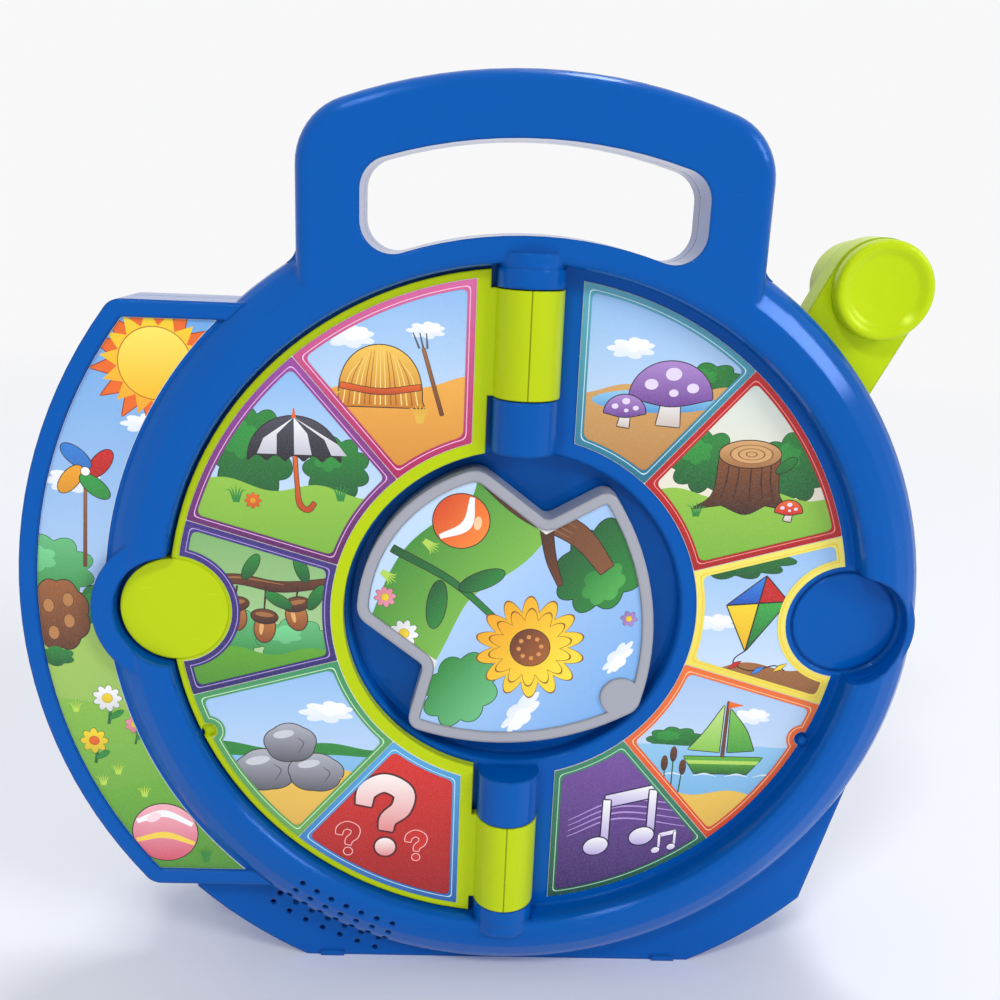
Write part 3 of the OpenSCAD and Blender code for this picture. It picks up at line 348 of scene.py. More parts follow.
def ribbon(points, widths, n=40):
    """A band of changing width along a smooth line."""
    line = flow_line(points, n)
    along = np.gradient(line, axis=0)
    side = xy(-along[:, 1], along[:, 0]) / np.linalg.norm(along, axis=1)[:, None]
    half = np.interp(np.linspace(0, 1, n), np.linspace(0, 1, len(widths)), widths)[:, None] / 2
    return np.vstack([line + side * half, (line - side * half)[::-1]])


def area(points):
    """Twice a polygon's area, positive if it runs anticlockwise."""
    return np.sum(points[:, 0] * np.roll(points[:, 1], -1) - points[:, 1] * np.roll(points[:, 0], -1))


def grown(points, width):
    """The outline pushed outwards by width along its own normals."""
    along = np.roll(points, -1, 0) - np.roll(points, 1, 0)
    length = np.maximum(np.linalg.norm(along, axis=1), 1e-6)[:, None]
    return points + xy(along[:, 1], -along[:, 0]) / length * width * np.sign(area(points))


DEPTH = 1.16        # power that deepens every ink
INK_STEP = 0.0015   # height of one ink above the one before, mm
FIRST_INK = 0.006   # height of the first ink above the film, mm
INK = rgb(52, 34, 28)


def new_object(name, data):
    piece = bpy.data.objects.new(name, data)
    bpy.context.scene.collection.objects.link(piece)
    return piece


class Sheet:
    """A picture label: inks as flat shapes, each a hair above the one before."""

    def __init__(self):
        self.points, self.colours, self.levels, self.faces, self.total = [], [], [], [], 0
        self.level, self.window = 0, lambda p: p
        self.origin, self.centre, self.size, self.turn = np.zeros(2), np.zeros(2), 1.0, np.eye(2)

    def lay(self, points, low, high, level, faces):
        span = max(np.ptp(points[:, 1]), 1e-6)
        t = ((points[:, 1] - points[:, 1].min()) / span)[:, None]
        self.points.append(points @ self.turn)
        self.colours.append(np.asarray(low) * (1 - t) + np.asarray(high) * t)
        self.levels.append(np.full(len(points), level))
        self.faces += [[self.total + i for i in face] for face in faces]
        self.total += len(points)

    def ink(self, points, low, high=None, line=0, key=INK):
        """One flat shape, shaded from low at its foot to high at its top, with a keyline
        of width line. The picture's size is taken about its centre."""
        whole = dense(self.centre + self.size * (np.asarray(points, float) + self.origin - self.centre))
        if line:
            self.fill(grown(whole, line), key, key)
        self.fill(whole, low, high or low)

    def draw(self, motif, x, y, *options):
        """Draws a motif, which has its own origin, about the point (x, y)."""
        start = self.origin
        self.origin = start + (x, y)
        motif(self, *options)
        self.origin = start

    def fill(self, whole, low, high):
        """Lays the part of a shape inside the window one level above the last."""
        span = max(np.ptp(whole[:, 1]), 1e-6)
        foot = whole[:, 1].min()
        shape = self.window(whole)
        if len(shape) < 3:
            return
        t0, t1 = (shape[:, 1].min() - foot) / span, (shape[:, 1].max() - foot) / span
        low, high = np.asarray(low, float), np.asarray(high, float)
        self.level += 1
        if area(shape) < 0:
            shape = shape[::-1]
        self.lay(shape, low + (high - low) * t0, low + (high - low) * t1, self.level, [range(len(shape))])

    def band(self, outer, inner, low, high, level):
        """A closed band between two loops of equal length."""
        n = len(outer)
        i = np.arange(n)
        j = (i + 1) % n
        faces = np.stack([i, j, n + j, n + i], 1)
        faces = faces if area(outer) > 0 else faces[:, ::-1]
        self.lay(np.vstack([outer, inner]), low, high, level, faces.tolist())

    def finish(self, name, finish, y, body, sense=-1):
        """Makes the mesh in the plane y, its inks rising towards sense * Y."""
        flat, colour = np.vstack(self.points), np.vstack(self.colours).clip(0, 1) ** DEPTH
        levels = np.concatenate(self.levels)
        depth = y + sense * (FIRST_INK + INK_STEP * levels)
        place = np.stack([flat[:, 0] * -sense, depth, flat[:, 1] + AXIS_Z], 1) * MM
        mesh = bpy.data.meshes.new(name)
        mesh.from_pydata(place, [], self.faces)
        colour = np.column_stack([colour, np.ones(len(colour))]).astype(np.float32)
        mesh.color_attributes.new("paint", "FLOAT_COLOR", "POINT").data.foreach_set("color", colour.ravel())
        mesh.materials.append(finish.material)
        piece = new_object(name, mesh)
        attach(piece, body)
        return piece


SKY, PALE_SKY, WHITE = rgb(150, 196, 240), rgb(228, 240, 250), rgb(252, 252, 250)
LEAF, DARK_LEAF, MINT = rgb(52, 150, 66), rgb(22, 104, 52), rgb(120, 200, 140)
GRASS, LAWN = rgb(110, 178, 52), rgb(160, 206, 80)
SAND, STRAW, GOLD = rgb(214, 164, 84), rgb(244, 206, 96), rgb(250, 176, 40)
BARK, DARK_BARK, PALE_BARK = rgb(126, 74, 38), rgb(78, 44, 24), rgb(176, 122, 72)
WATER, DARK_STONE = rgb(90, 164, 216), rgb(104, 106, 116)
RED, ORANGE, YELLOW = rgb(214, 40, 36), rgb(242, 120, 34), rgb(252, 222, 50)
VIOLET, LILAC, PINK = rgb(126, 80, 160), rgb(186, 150, 212), rgb(244, 160, 178)


def sky(s, low=PALE_SKY, high=SKY):
    s.ink([(-24, -24), (24, -24), (24, 24), (-24, 24)], low, high)


def cloud(s, x, y, w):
    s.ink(puffs(x, y, w, w * 0.42, 7, 0.3), rgb(232, 240, 250), WHITE)
    s.ink(puffs(x + w * 0.2, y + w * 0.16, w * 0.55, w * 0.3, 5, 0.25), WHITE)


def ground(s, y, tilt, low, high, wave=1.2):
    """A bank that fills everything below a gently waving line."""
    u = np.linspace(-26, 26, 60)
    top = y + u * tilt + wave * np.sin(u * 0.28 + s.origin[0])
    s.ink(np.vstack([xy(u, top), [[26, y - 34], [-26, y - 34]]]), low, high)


def tuft(s, x, y, h, colour):
    """Five curved grass blades from one root."""
    for k in range(-2, 3):
        blade = [(x + k * 0.25, y), (x + k * 0.7, y + h * 0.6), (x + k * 1.25, y + h * (1 - abs(k) * 0.16))]
        s.ink(ribbon(blade, [h * 0.11, h * 0.07, 0.04], 12), colour)


def bush(s, x, y, rx, ry, low=DARK_LEAF, high=LEAF, count=9):
    s.ink(puffs(x, y, rx, ry, count, 0.2), low, high, line=0.22, key=toned(low, 0.55))
    s.ink(puffs(x - rx * 0.25, y + ry * 0.3, rx * 0.45, ry * 0.4, 6, 0.25), high, toned(high, 1.25))


def tree(s, h, fruit=RED):
    """Round-headed tree on a forked trunk with a few fruits."""
    s.ink(ribbon([(-0.4, 0), (0.3, h * 0.35), (0, h * 0.62)], [h * 0.17, h * 0.1, h * 0.07], 20),
          DARK_BARK, BARK, line=0.2)
    s.ink(puffs(0, h * 0.72, h * 0.4, h * 0.33, 9, 0.16), DARK_LEAF, LEAF, line=0.25)
    s.ink(puffs(-h * 0.08, h * 0.82, h * 0.22, h * 0.16, 7, 0.2), LEAF, rgb(96, 186, 92))
    for dx, dy in ((-0.22, 0.62), (0.2, 0.66), (0.02, 0.56), (0.1, 0.84), (-0.14, 0.86)):
        s.ink(oval(dx * h, dy * h, h * 0.05), fruit, toned(fruit, 1.4, 0.03), line=0.15)


def flower(s, x, y, r, petal, heart=GOLD, count=8, stem=0.0):
    if stem:
        s.ink(ribbon([(x, y), (x + 0.6, y - stem * 0.5), (x, y - stem)], [r * 0.22] * 2, 14), DARK_LEAF, LEAF)
        s.ink(oval(x + r * 0.55, y - stem * 0.62, r * 0.55, r * 0.2, 32), LEAF, line=0.15, key=DARK_LEAF)
    s.ink(puffs(x, y, r * 1.04, r * 1.04, count, 0.34, np.pi / 2, 96), INK)
    s.ink(puffs(x, y, r, r, count, 0.34, np.pi / 2, 96), toned(petal, 0.75), petal)
    s.ink(oval(x, y, r * 0.34), toned(heart, 0.8), heart, line=0.15, key=toned(heart, 0.5))


def haystack(s):
    """Golden stack of straw bound with a band, a fork leaning on it."""
    t = np.linspace(0, np.pi, 30)
    s.ink(np.vstack([xy(9.4 * np.cos(t), 12.5 * np.sin(t) ** 0.8), [[-10, -1.5], [10, -1.5]]]),
          rgb(214, 140, 40), rgb(252, 210, 100), line=0.3)
    for k in np.linspace(-0.9, 0.9, 15):
        s.ink(ribbon([(9.4 * k, -1), (8.0 * k, 5), (5.2 * k, 11.5 - 3.5 * k * k)], [0.28, 0.2, 0.1], 14),
              rgb(176, 108, 30) if int(k * 20) % 2 else rgb(255, 232, 150))
    s.ink(ribbon([(-9, 3.2), (0, 2.0), (9, 3.2)], [1.3, 1.3], 20), rgb(196, 84, 30), ORANGE, line=0.2)
    s.ink(ribbon([(14, -3), (9.5, 12)], [0.8, 0.7], 8), BARK, PALE_BARK, line=0.15)
    for k in (-1.5, 0, 1.5):
        s.ink(ribbon([(9.5 + k * 0.6, 12), (8.6 + k, 15.5)], [0.5, 0.25], 8), DARK_STONE)


def umbrella(s):
    """Open parasol in dark and pale panels with an orange crook."""
    t = np.linspace(0, np.pi, 40)
    s.ink(ribbon([(0, 4), (0.6, -6), (1.2, -11), (3.2, -12.4), (4.8, -10.6)],
                 [0.9, 0.9, 1.3, 1.3, 1.1], 40), rgb(200, 84, 20), ORANGE, line=0.2)
    rim = xy(11 * np.cos(t), 10.5 * np.sin(t))
    scallop = np.linspace(-11, 11, 60)
    lower = xy(scallop, 1.5 * np.abs(np.sin((scallop + 11) / 22 * np.pi * 5)) - 0.4)
    s.ink(np.vstack([rim, lower]), rgb(40, 38, 46), rgb(92, 90, 104), line=0.3)
    for k in (-0.6, 0.2, 1.0):
        left = flow_line([((k - 0.2) * 9, 7.4 - abs(k - 0.2) * 3), ((k - 0.2) * 11, 1.2)], 12)
        right = flow_line([((k + 0.2) * 10.4, 1.2), ((k + 0.15) * 9, 7.4 - abs(k + 0.15) * 3)], 12)
        s.ink(np.vstack([[0, 10.2], left, right]), rgb(206, 204, 214), WHITE)
    s.ink(ribbon([(0, 10), (0, 12.4)], [1.0, 0.3], 8), ORANGE)


def acorns(s):
    """A knotted branch with hanging acorns and lobed leaves."""
    branch = ribbon([(-24, 8), (-10, 10.5), (4, 8.5), (22, 11)], [3.6, 2.8, 3.0, 2.2], 50)
    s.ink(branch, DARK_BARK, BARK, line=0.25)
    s.ink(ribbon([(-22, 8.8), (-10, 11.0), (4, 9.2)], [0.3, 0.5, 0.2], 30), PALE_BARK)
    for dx, dy, turn in ((-9.5, 1.0, 8), (-1.5, -2.5, -6), (7.5, 1.4, 12)):
        s.ink(ribbon([(dx, dy + 4), (dx + 0.6, 8.6)], [0.5, 0.6], 8), DARK_BARK)
        s.ink(oval(dx, dy - 1.6, 2.9, 4.3, turn), rgb(150, 84, 34), rgb(206, 140, 70), line=0.3)
        s.ink(oval(dx - 0.9, dy - 1.4, 0.6, 2.2, turn), rgb(232, 184, 122))
        s.ink(oval(dx, dy + 2.0, 3.7, 2.1, turn), DARK_BARK, BARK, line=0.3)
        s.ink(oval(dx, dy + 2.6, 2.6, 0.7, turn), PALE_BARK)
    for dx, dy, turn in ((-15, 4.6, 210), (2.6, 4.4, 330), (13, 5.6, 240), (-5, 14.2, 60), (9, 14, 110)):
        s.ink(oval(dx, dy, 4.2, 1.7, turn), DARK_LEAF, LEAF, line=0.2)


def boulders(s):
    """Three rounded grey boulders, one on top of the others."""
    for dx, dy, rx, ry, turn in ((-5.2, 0, 6.6, 5, 0.3), (5.6, -0.4, 6, 4.6, 1), (0.2, 6.6, 5.6, 4.6, 0.6)):
        s.ink(puffs(dx, dy, rx, ry, 5, 0.07, turn), DARK_STONE, rgb(186, 188, 196), line=0.3)
        s.ink(oval(dx - rx * 0.25, dy + ry * 0.45, rx * 0.4, ry * 0.2, 12), rgb(212, 214, 220))
        s.ink(ribbon([(dx + rx * 0.3, dy - ry * 0.5), (dx + rx * 0.5, dy), (dx + rx * 0.25, dy + ry * 0.3)],
                     [0.18, 0.3, 0.12], 14), DARK_STONE)


def toadstool(s, h, low, high):
    s.ink(ribbon([(-0.2, 0), (0.3, h * 0.5)], [h * 0.36, h * 0.24], 14), rgb(214, 200, 190), WHITE, line=0.3)
    t = np.linspace(0, np.pi, 40)
    cap = np.vstack([xy(h * 0.62 * np.cos(t), h * 0.42 + h * 0.55 * np.sin(t)),
                     flow_line([(-h * 0.62, h * 0.42), (0, h * 0.3), (h * 0.62, h * 0.42)], 20)])
    s.ink(cap, low, high, line=0.3)
    for dx, dy, r in ((-0.3, 0.62, 0.1), (0.02, 0.78, 0.12), (0.32, 0.58, 0.09), (0.04, 0.5, 0.07)):
        s.ink(oval(dx * h, dy * h, r * h, r * h * 0.8), rgb(236, 224, 246))


def stump(s):
    """A broad cut trunk with rings, roots and a small shoot."""
    s.ink(np.vstack([flow_line([(-13, -8), (-8.4, -4), (-7.4, 6)], 16),
                     flow_line([(7.4, 6), (8.2, -4), (12.5, -8)], 16),
                     flow_line([(5, -6.6), (0, -9), (-6, -6.8)], 12)]),
          DARK_BARK, rgb(150, 92, 48), line=0.3)
    for k in (-5.0, -2.4, 0.6, 3.2, 5.4):
        s.ink(ribbon([(k, 3.6), (k * 1.06, -1), (k * 1.3, -5.4)], [0.3, 0.45, 0.2], 14), DARK_BARK)
    s.ink(oval(0, 6.2, 7.6, 3.4), PALE_BARK, rgb(222, 178, 122), line=0.3)
    for r in (5.4, 3.4, 1.5):
        s.ink(oval(0.3, 6.2, r, r * 0.44), rgb(150, 98, 54))
        s.ink(oval(0.3, 6.2, r - 0.35, (r - 0.35) * 0.44), rgb(220, 176, 120))
    s.ink(oval(9.2, 3.6, 3.0, 1.3, 40), DARK_LEAF, LEAF, line=0.2)


def kite(s):
    """Diamond kite in three colours with a bowed tail."""
    tip, left, right, foot, middle = (2, 10.5), (-6.6, 3), (7.6, 4.4), (-1.2, -8.4), (0.6, 3.7)
    s.ink([tip, left, foot, right], rgb(180, 24, 28), RED, line=0.4)
    s.ink([tip, left, middle], rgb(24, 92, 190), rgb(66, 150, 232))
    s.ink([foot, middle, right], rgb(24, 120, 60), rgb(72, 184, 84))
    s.ink([left, middle, foot], rgb(240, 190, 30), YELLOW)
    s.ink(ribbon([tip, foot], [0.35, 0.35], 6), INK)
    s.ink(ribbon([left, right], [0.35, 0.35], 6), INK)
    tail = flow_line([foot, (-4, -11.5), (1, -13.6), (6, -12.0), (10, -14)], 40)
    s.ink(ribbon(tail[::6], [0.3, 0.3], 40), INK)
    for k, c in ((12, RED), (22, rgb(66, 150, 232)), (33, YELLOW)):
        s.ink(spiky(*tail[k], 1.9, 0.6, 2, 0.6), c, line=0.18)


def sailboat(s):
    """Small green boat with a pale jib, on little waves."""
    s.ink([(-9.5, 0), (10, 0), (6.4, -4.6), (-6.6, -4.6)], rgb(40, 120, 40), rgb(112, 190, 70), line=0.3)
    s.ink([(-9, -1.0), (9.3, -1.0), (8.6, -2.0), (-8.2, -2.0)], rgb(190, 226, 110))
    s.ink(ribbon([(0, 0), (0.2, 15)], [0.8, 0.5], 6), BARK, line=0.15)
    s.ink(np.vstack([[-0.9, 1.3], flow_line([(-8.6, 1.9), (-4.8, 7), (-0.7, 14)], 16)]),
          rgb(150, 206, 90), rgb(206, 236, 150), line=0.3)
    s.ink(np.vstack([[1.1, 1.3], flow_line([(0.9, 13), (5.2, 7.5), (7.6, 1.9)], 16)]),
          rgb(86, 168, 70), rgb(140, 208, 96), line=0.3)
    s.ink([(0.3, 15), (4, 14), (0.3, 13)], ORANGE)
    for k in (-12, -4, 4, 11):
        s.ink(ribbon([(k - 3, -5.4), (k, -4.7), (k + 3, -5.4)], [0.1, 0.5, 0.1], 14), PALE_SKY)


def reeds(s):
    for dx, h in ((-1.6, 8), (0, 10.5), (1.9, 7)):
        s.ink(ribbon([(dx, 0), (dx * 1.3, h)], [0.35, 0.25], 8), DARK_LEAF)
        s.ink(oval(dx * 1.3, h, 0.75, 2.0), DARK_BARK, BARK, line=0.15)


def question(s, k, low, high, line, key):
    """A plain question mark: a swelling hook and a dot, k times its drawn size."""
    hook = np.array([(-5.2, 5.4), (-4.2, 9.6), (0.2, 11.9), (4.9, 9.3), (4.4, 4.8), (1.2, 1.6), (0.5, -1.8)])
    s.ink(ribbon(hook * k, np.array([4.0, 4.8, 5.0, 5.2, 5.0, 4.4, 3.6]) * k, 60), low, high, line, key)
    s.ink(oval(0.4 * k, -6.6 * k, 2.6 * k), low, high, line, key)


def notes(s, k, low, high, line, key):
    """Two quavers joined by a slanting beam, k times their drawn size."""
    s.ink(np.array([(-5.4, 6.4), (6.2, 9.6), (6.2, 6.4), (-5.4, 3.2)]) * k, low, high, line, key)
    for dx, dy in ((-5.0, -7.2), (5.8, -4.2)):
        s.ink(ribbon(np.array([(dx, dy + 1), (dx, dy + 12.4)]) * k, [1.7 * k] * 2, 6), low, high, line, key)
        s.ink(oval((dx - 2.0) * k, dy * k, 3.0 * k, 2.2 * k, 24), low, high, line, key)


def hay_field(s):
    sky(s)
    cloud(s, -8, 9, 6)
    cloud(s, 9, 11, 4.5)
    ground(s, -1, 0.05, rgb(206, 130, 40), rgb(248, 186, 84))
    s.draw(haystack, -1, -5)
    tuft(s, 8, -10, 5, rgb(236, 196, 80))
    tuft(s, -12, -6, 4, rgb(236, 196, 80))


def garden(s):
    sky(s)
    bush(s, -9, 2, 10, 12)
    bush(s, 11, -1, 8, 8)
    ground(s, -6, -0.06, GRASS, LAWN)
    s.draw(umbrella, 1, 1)
    tuft(s, -13, -10, 4.5, LEAF)
    tuft(s, 12, -9, 4.5, LEAF)
    flower(s, -9, -9.5, 2.0, ORANGE)


def oak(s):
    sky(s, rgb(196, 224, 170), rgb(140, 190, 120))
    bush(s, -10, -7, 10, 8, LEAF, MINT)
    bush(s, 8, -9, 11, 7, LEAF, MINT)
    ground(s, -12, 0.0, DARK_LEAF, GRASS)
    s.draw(acorns, 1, -1)


def shore(s):
    sky(s)
    cloud(s, 7, 9, 6)
    ground(s, 1, 0.0, DARK_LEAF, LEAF, 0.8)
    ground(s, -1.5, 0.02, WATER, rgb(150, 200, 236), 0.3)
    ground(s, -6, 0.08, SAND, STRAW)
    s.draw(boulders, -1, -5)
    tuft(s, 12, -10, 5, rgb(230, 180, 60))


def riddle(s):
    sky(s, rgb(172, 16, 22), rgb(226, 52, 40))
    s.draw(question, 1.0, -0.2, 1.12, rgb(236, 150, 150), rgb(255, 246, 240), 0.7, rgb(96, 6, 12))
    for x, y, k, c in ((10.2, -8.0, 0.42, rgb(214, 44, 40)), (-9.4, -6.2, 0.46, rgb(190, 26, 28))):
        s.draw(question, x, y, k, c, c, 0.25, rgb(255, 214, 210))


def pond(s):
    sky(s)
    cloud(s, -8, 8, 5.5)
    bush(s, 10, 1, 8, 4.5)
    ground(s, -1, 0.0, rgb(168, 112, 58), rgb(222, 176, 110))
    s.ink(oval(-2, -3.5, 14, 2.6), WATER, rgb(166, 214, 240))
    s.draw(toadstool, 1.5, -9, 15, VIOLET, LILAC)
    s.draw(toadstool, -8.5, -9.5, 7.5, VIOLET, LILAC)


def woodland(s):
    sky(s, rgb(250, 234, 206), rgb(226, 236, 226))
    bush(s, -11, 3, 9, 8)
    bush(s, 11, 2, 9, 9)
    ground(s, -5, 0.0, GRASS, LAWN)
    s.draw(stump, 0, -1)
    tuft(s, -12, -11, 4, LEAF)
    s.draw(toadstool, 11, -11.5, 5.5, RED, ORANGE)


def breeze(s):
    sky(s)
    cloud(s, -10, -1, 5)
    bush(s, -8, 16, 16, 6, DARK_LEAF, LEAF, 13)
    ground(s, -12, 0.04, DARK_BARK, PALE_BARK)
    s.draw(kite, -1, 0.5)


def lake(s):
    sky(s, PALE_SKY, rgb(176, 206, 240))
    cloud(s, 7, 10, 5)
    bush(s, -11, 3.4, 7, 3.4)
    ground(s, 2, 0.0, WATER, rgb(160, 208, 238), 0.2)
    s.draw(sailboat, 1, -1)
    ground(s, -11, -0.1, SAND, STRAW)
    s.draw(reeds, -11, -11)


def tune(s):
    sky(s, rgb(70, 40, 112), rgb(132, 92, 170))
    for k in range(4):
        stave = ribbon([(-17, -5 + k * 1.7), (-3, 1 + k * 1.9), (16, -1 + k * 2.3)], [0.2, 0.55, 0.2], 30)
        s.ink(stave, rgb(190, 160, 220))
    s.draw(notes, -0.6, 0.5, 1.18, rgb(196, 180, 226), WHITE, 0.5, rgb(44, 20, 84))
    s.draw(notes, 11.0, -6.0, 0.4, rgb(222, 206, 240), WHITE, 0.25, rgb(44, 20, 84))


def meadow(s):
    sky(s)
    cloud(s, 6, 9, 6)
    ground(s, -2, 0.05, GRASS, LAWN)
    for dx, dy, r, c in ((-7, -3, 3.6, RED), (2, 1, 4.4, YELLOW), (9, -5, 3.2, PINK)):
        flower(s, dx, dy, r, c, stem=9)


def orchard(s):
    sky(s)
    cloud(s, -9, 9, 5)
    ground(s, -5, -0.04, LEAF, GRASS)
    s.draw(tree, 0, -9, 20)
    tuft(s, 11, -11, 4, LEAF)


def grove(s):
    sky(s, rgb(250, 226, 176), rgb(250, 244, 220))
    ground(s, -4, 0.03, rgb(120, 160, 60), rgb(190, 206, 96))
    s.draw(tree, -7, -8, 16, ORANGE)
    s.draw(tree, 7, -9, 13, YELLOW)


# ---- Sector pictures ---------------------------------
# Each half label carries five pictures between radial dividers. A picture has a thick
# coloured frame with a thin pale inline, and rounded inner corners.

R_IN, R_OUT = 57.6, 105.0               # the label's two arcs, mm
EDGE_X = 15.5                           # its straight edge beside the hinge
DIVIDERS = [-49.3, -16.0, 16.0, 49.3]   # degrees
PICTURE_IN = 1.0                        # a picture's outline lies so far inside its sector
FRAME = (0.12, 2.6, 0.4, 2.2, 90)       # outer and inner edge, their corners' reach, level
INLINE = (1.7, 1.95, 1.6, 1.8, 91)      # both levels lie above every ink of the pictures
EDGE_GAP, ARC_GAP, BITE_GAP = 0.6, 0.8, 0.4     # how far the inks stay from the edges, mm
RAY_GAP = 0.008                         # and from the dividers, radians
MIDDLE_IN = 3.0                         # the middle picture sits so far in from the tab, mm
TAB_X = 105.5                           # the finger tab's middle


def side_at(radius, angle, sign, d):
    """Where a sector's side, moved in by d, crosses a circle of that radius. The side is
    a ray at an angle, or for None the straight edge; sign is -1 for the lower side."""
    radius = np.asarray(radius, float)
    if angle is None:
        x = np.full_like(radius, EDGE_X + d)
        return np.stack([x, sign * np.sqrt(radius ** 2 - x ** 2)], -1)
    a = np.radians(angle)
    t = np.sqrt(radius ** 2 - d ** 2)[..., None]
    return t * np.array([np.cos(a), np.sin(a)]) - sign * d * np.array([-np.sin(a), np.cos(a)])


def circle_at(angles, radius):
    return radius * xy(np.cos(angles), np.sin(angles))


def sector_loop(low, high, d, corner, bite=None, n=22):
    """The outline of the sector from the side low to the side high, moved in by d, its
    corners turned by short curves. A bite (x, y, radius) is taken out of its outer arc."""
    def short(a, b, gap):
        return np.linspace(a + np.sign(b - a) * gap, b - np.sign(b - a) * gap, n)

    r0, r1 = R_IN + d, R_OUT - d
    corners = [side_at(*end, d) for end in ((r0, low, -1), (r1, low, -1), (r1, high, 1), (r0, high, 1))]
    angles = [np.arctan2(p[1], p[0]) for p in corners]
    outer = circle_at(short(angles[1], angles[2], corner / r1), r1)
    if bite:
        away, at, radius = np.hypot(bite[0], bite[1]), np.arctan2(bite[1], bite[0]), bite[2] + d
        meet = np.arccos((r1 ** 2 + away ** 2 - radius ** 2) / (2 * r1 * away))
        turn = np.arctan2(r1 * np.sin(meet), r1 * np.cos(meet) - away)
        below = np.linspace(angles[1] + corner / r1, at - meet, n)
        above = np.linspace(at + meet, angles[2] - corner / r1, n)
        inwards = bite[:2] + circle_at(at + np.linspace(2 * np.pi - turn, turn, 60)[1:-1], radius)
        outer = np.vstack([circle_at(below, r1), inwards, circle_at(above, r1)])
    sides = [side_at(short(r0, r1, corner), low, -1, d), outer, side_at(short(r1, r0, corner), high, 1, d),
             circle_at(short(angles[3], angles[0], corner / r0), r0)]
    t = np.linspace(0, 1, 8)[1:-1, None]
    loop = []
    for k, (side, p) in enumerate(zip(sides, corners[1:] + corners[:1])):
        a, b = side[-1], sides[(k + 1) % 4][0]
        loop += [side, (1 - t) ** 2 * a + 2 * t * (1 - t) * p + t ** 2 * b]
    return np.vstack(loop)


def half_label(name, node, finish, scenes, inks, half, body, bites, sense=-1):
    """Five framed pictures on one half of the disc, half being 1 for the right side. The
    scenes come with their sizes and the inks with the frame's two and its inline's. Bites
    are round pieces (x, y, radius) cut out of a picture's outer edge, by its number."""
    sheet = Sheet()
    sides = [None] + DIVIDERS + [None]
    for k, ((scene, size), (low_ink, high_ink, inline_ink)) in enumerate(zip(scenes, inks)):
        low, high, bite = sides[k], sides[k + 1], bites.get(k)
        loop = sector_loop(low, high, PICTURE_IN, 1.5)
        a0 = np.radians(-90 if low is None else low)
        a1 = np.radians(90 if high is None else high)

        def window(p, a0=a0, a1=a1, bite=bite):
            p = cut(p, (-half, 0), -EDGE_X - EDGE_GAP)
            rays = ((1, 0, a1 - RAY_GAP), (-1, 0, -a0 - RAY_GAP))
            arcs = ((0, 1, R_OUT - ARC_GAP), (0, -1, -R_IN - ARC_GAP))
            p = polar_cut(p, half, rays + arcs) if len(p) > 2 else p
            return outside(p, (half * bite[0], bite[1]), -1, bite[2] + BITE_GAP) if bite else p

        centre = (loop.max(0) + loop.min(0)) / 2
        sheet.window, sheet.level, sheet.size = window, 0, size
        sheet.centre = np.array([(centre[0] - (MIDDLE_IN if k == 2 else 0)) * half, centre[1]])
        sheet.draw(scene, *sheet.centre)
        for band, *colours in ((FRAME, low_ink, high_ink), (INLINE, inline_ink, inline_ink)):
            d0, d1, reach0, reach1, level = band
            sheet.band(sector_loop(low, high, d0, reach0, bite) * (half, 1),
                       sector_loop(low, high, d1, reach1, bite) * (half, 1), *colours, level)
    front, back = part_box(node)
    return sheet.finish(name, finish, (front.y if sense < 0 else back.y) / MM, body, sense)


page_inks = [(rgb(40, 110, 180), rgb(96, 180, 226), rgb(206, 236, 250)),
             (rgb(120, 180, 90), rgb(70, 160, 110), rgb(216, 244, 210)),
             (rgb(52, 40, 116), rgb(78, 56, 142), rgb(188, 170, 226)),
             (rgb(104, 24, 104), rgb(168, 84, 168), rgb(236, 190, 236)),
             (rgb(186, 14, 100), rgb(226, 116, 170), rgb(252, 206, 228))]
floor_inks = [(rgb(34, 96, 76), rgb(70, 150, 112), rgb(190, 236, 206)),
              (rgb(226, 84, 30), rgb(246, 128, 56), rgb(255, 214, 170)),
              (rgb(244, 226, 96), rgb(250, 238, 120), rgb(250, 206, 40)),
              (rgb(184, 12, 22), rgb(206, 26, 30), rgb(250, 160, 150)),
              (rgb(24, 124, 150), rgb(104, 182, 200), rgb(206, 238, 246))]
TAB_ON_PAGE, TAB_ON_FLOOR = (TAB_X, 0, 17.5), (TAB_X, 0, 19.0)
BUTTON_ON_PAGE, BUTTON_ON_FLOOR = (96.5, -41.5, 2.7), (96.5, -41.5, 2.5)
half_label("page_front_print", "page_front_label", inked("page print"),
           [(riddle, 1.15), (shore, 1.5), (oak, 1.1), (garden, 1.25), (hay_field, 1.3)], page_inks, -1,
           "page", {1: BUTTON_ON_PAGE, 2: TAB_ON_PAGE})
half_label("right_floor_print", "right_floor_label", inked("right floor print"),
           [(tune, 1.2), (lake, 1.35), (breeze, 1.35), (woodland, 1.25), (pond, 1.35)], floor_inks, 1,
           "body", {1: BUTTON_ON_FLOOR, 2: TAB_ON_FLOOR})
half_label("page_back_print", "page_back_label", inked("page back print"),
           [(tune, 1.2), (meadow, 1.2), (orchard, 1.3), (shore, 1.5), (grove, 1.2)], floor_inks, 1,
           "page", {2: TAB_ON_PAGE}, sense=1)
half_label("left_floor_print", "left_floor_label", inked("left floor print"),
           [(riddle, 1.15), (orchard, 1.3), (meadow, 1.2), (grove, 1.2), (lake, 1.35)], page_inks, -1,
           "body", {2: TAB_ON_FLOOR})


# ---- Side panel print --------------------------------
# One tall picture on the panel left of the ring: sun and clouds above, hills, bushes
# and flowers below, cut to the ring's curve.

PANEL_TOP, PANEL_FOOT = 89.0, 92.4      # the picture's reach above and below the disc's axis
PANEL_OUT, PANEL_IN = 146.9, 126.6      # its two arcs
COLLAR_R = 24.8                         # the collar round the tab's pocket
side = Sheet()


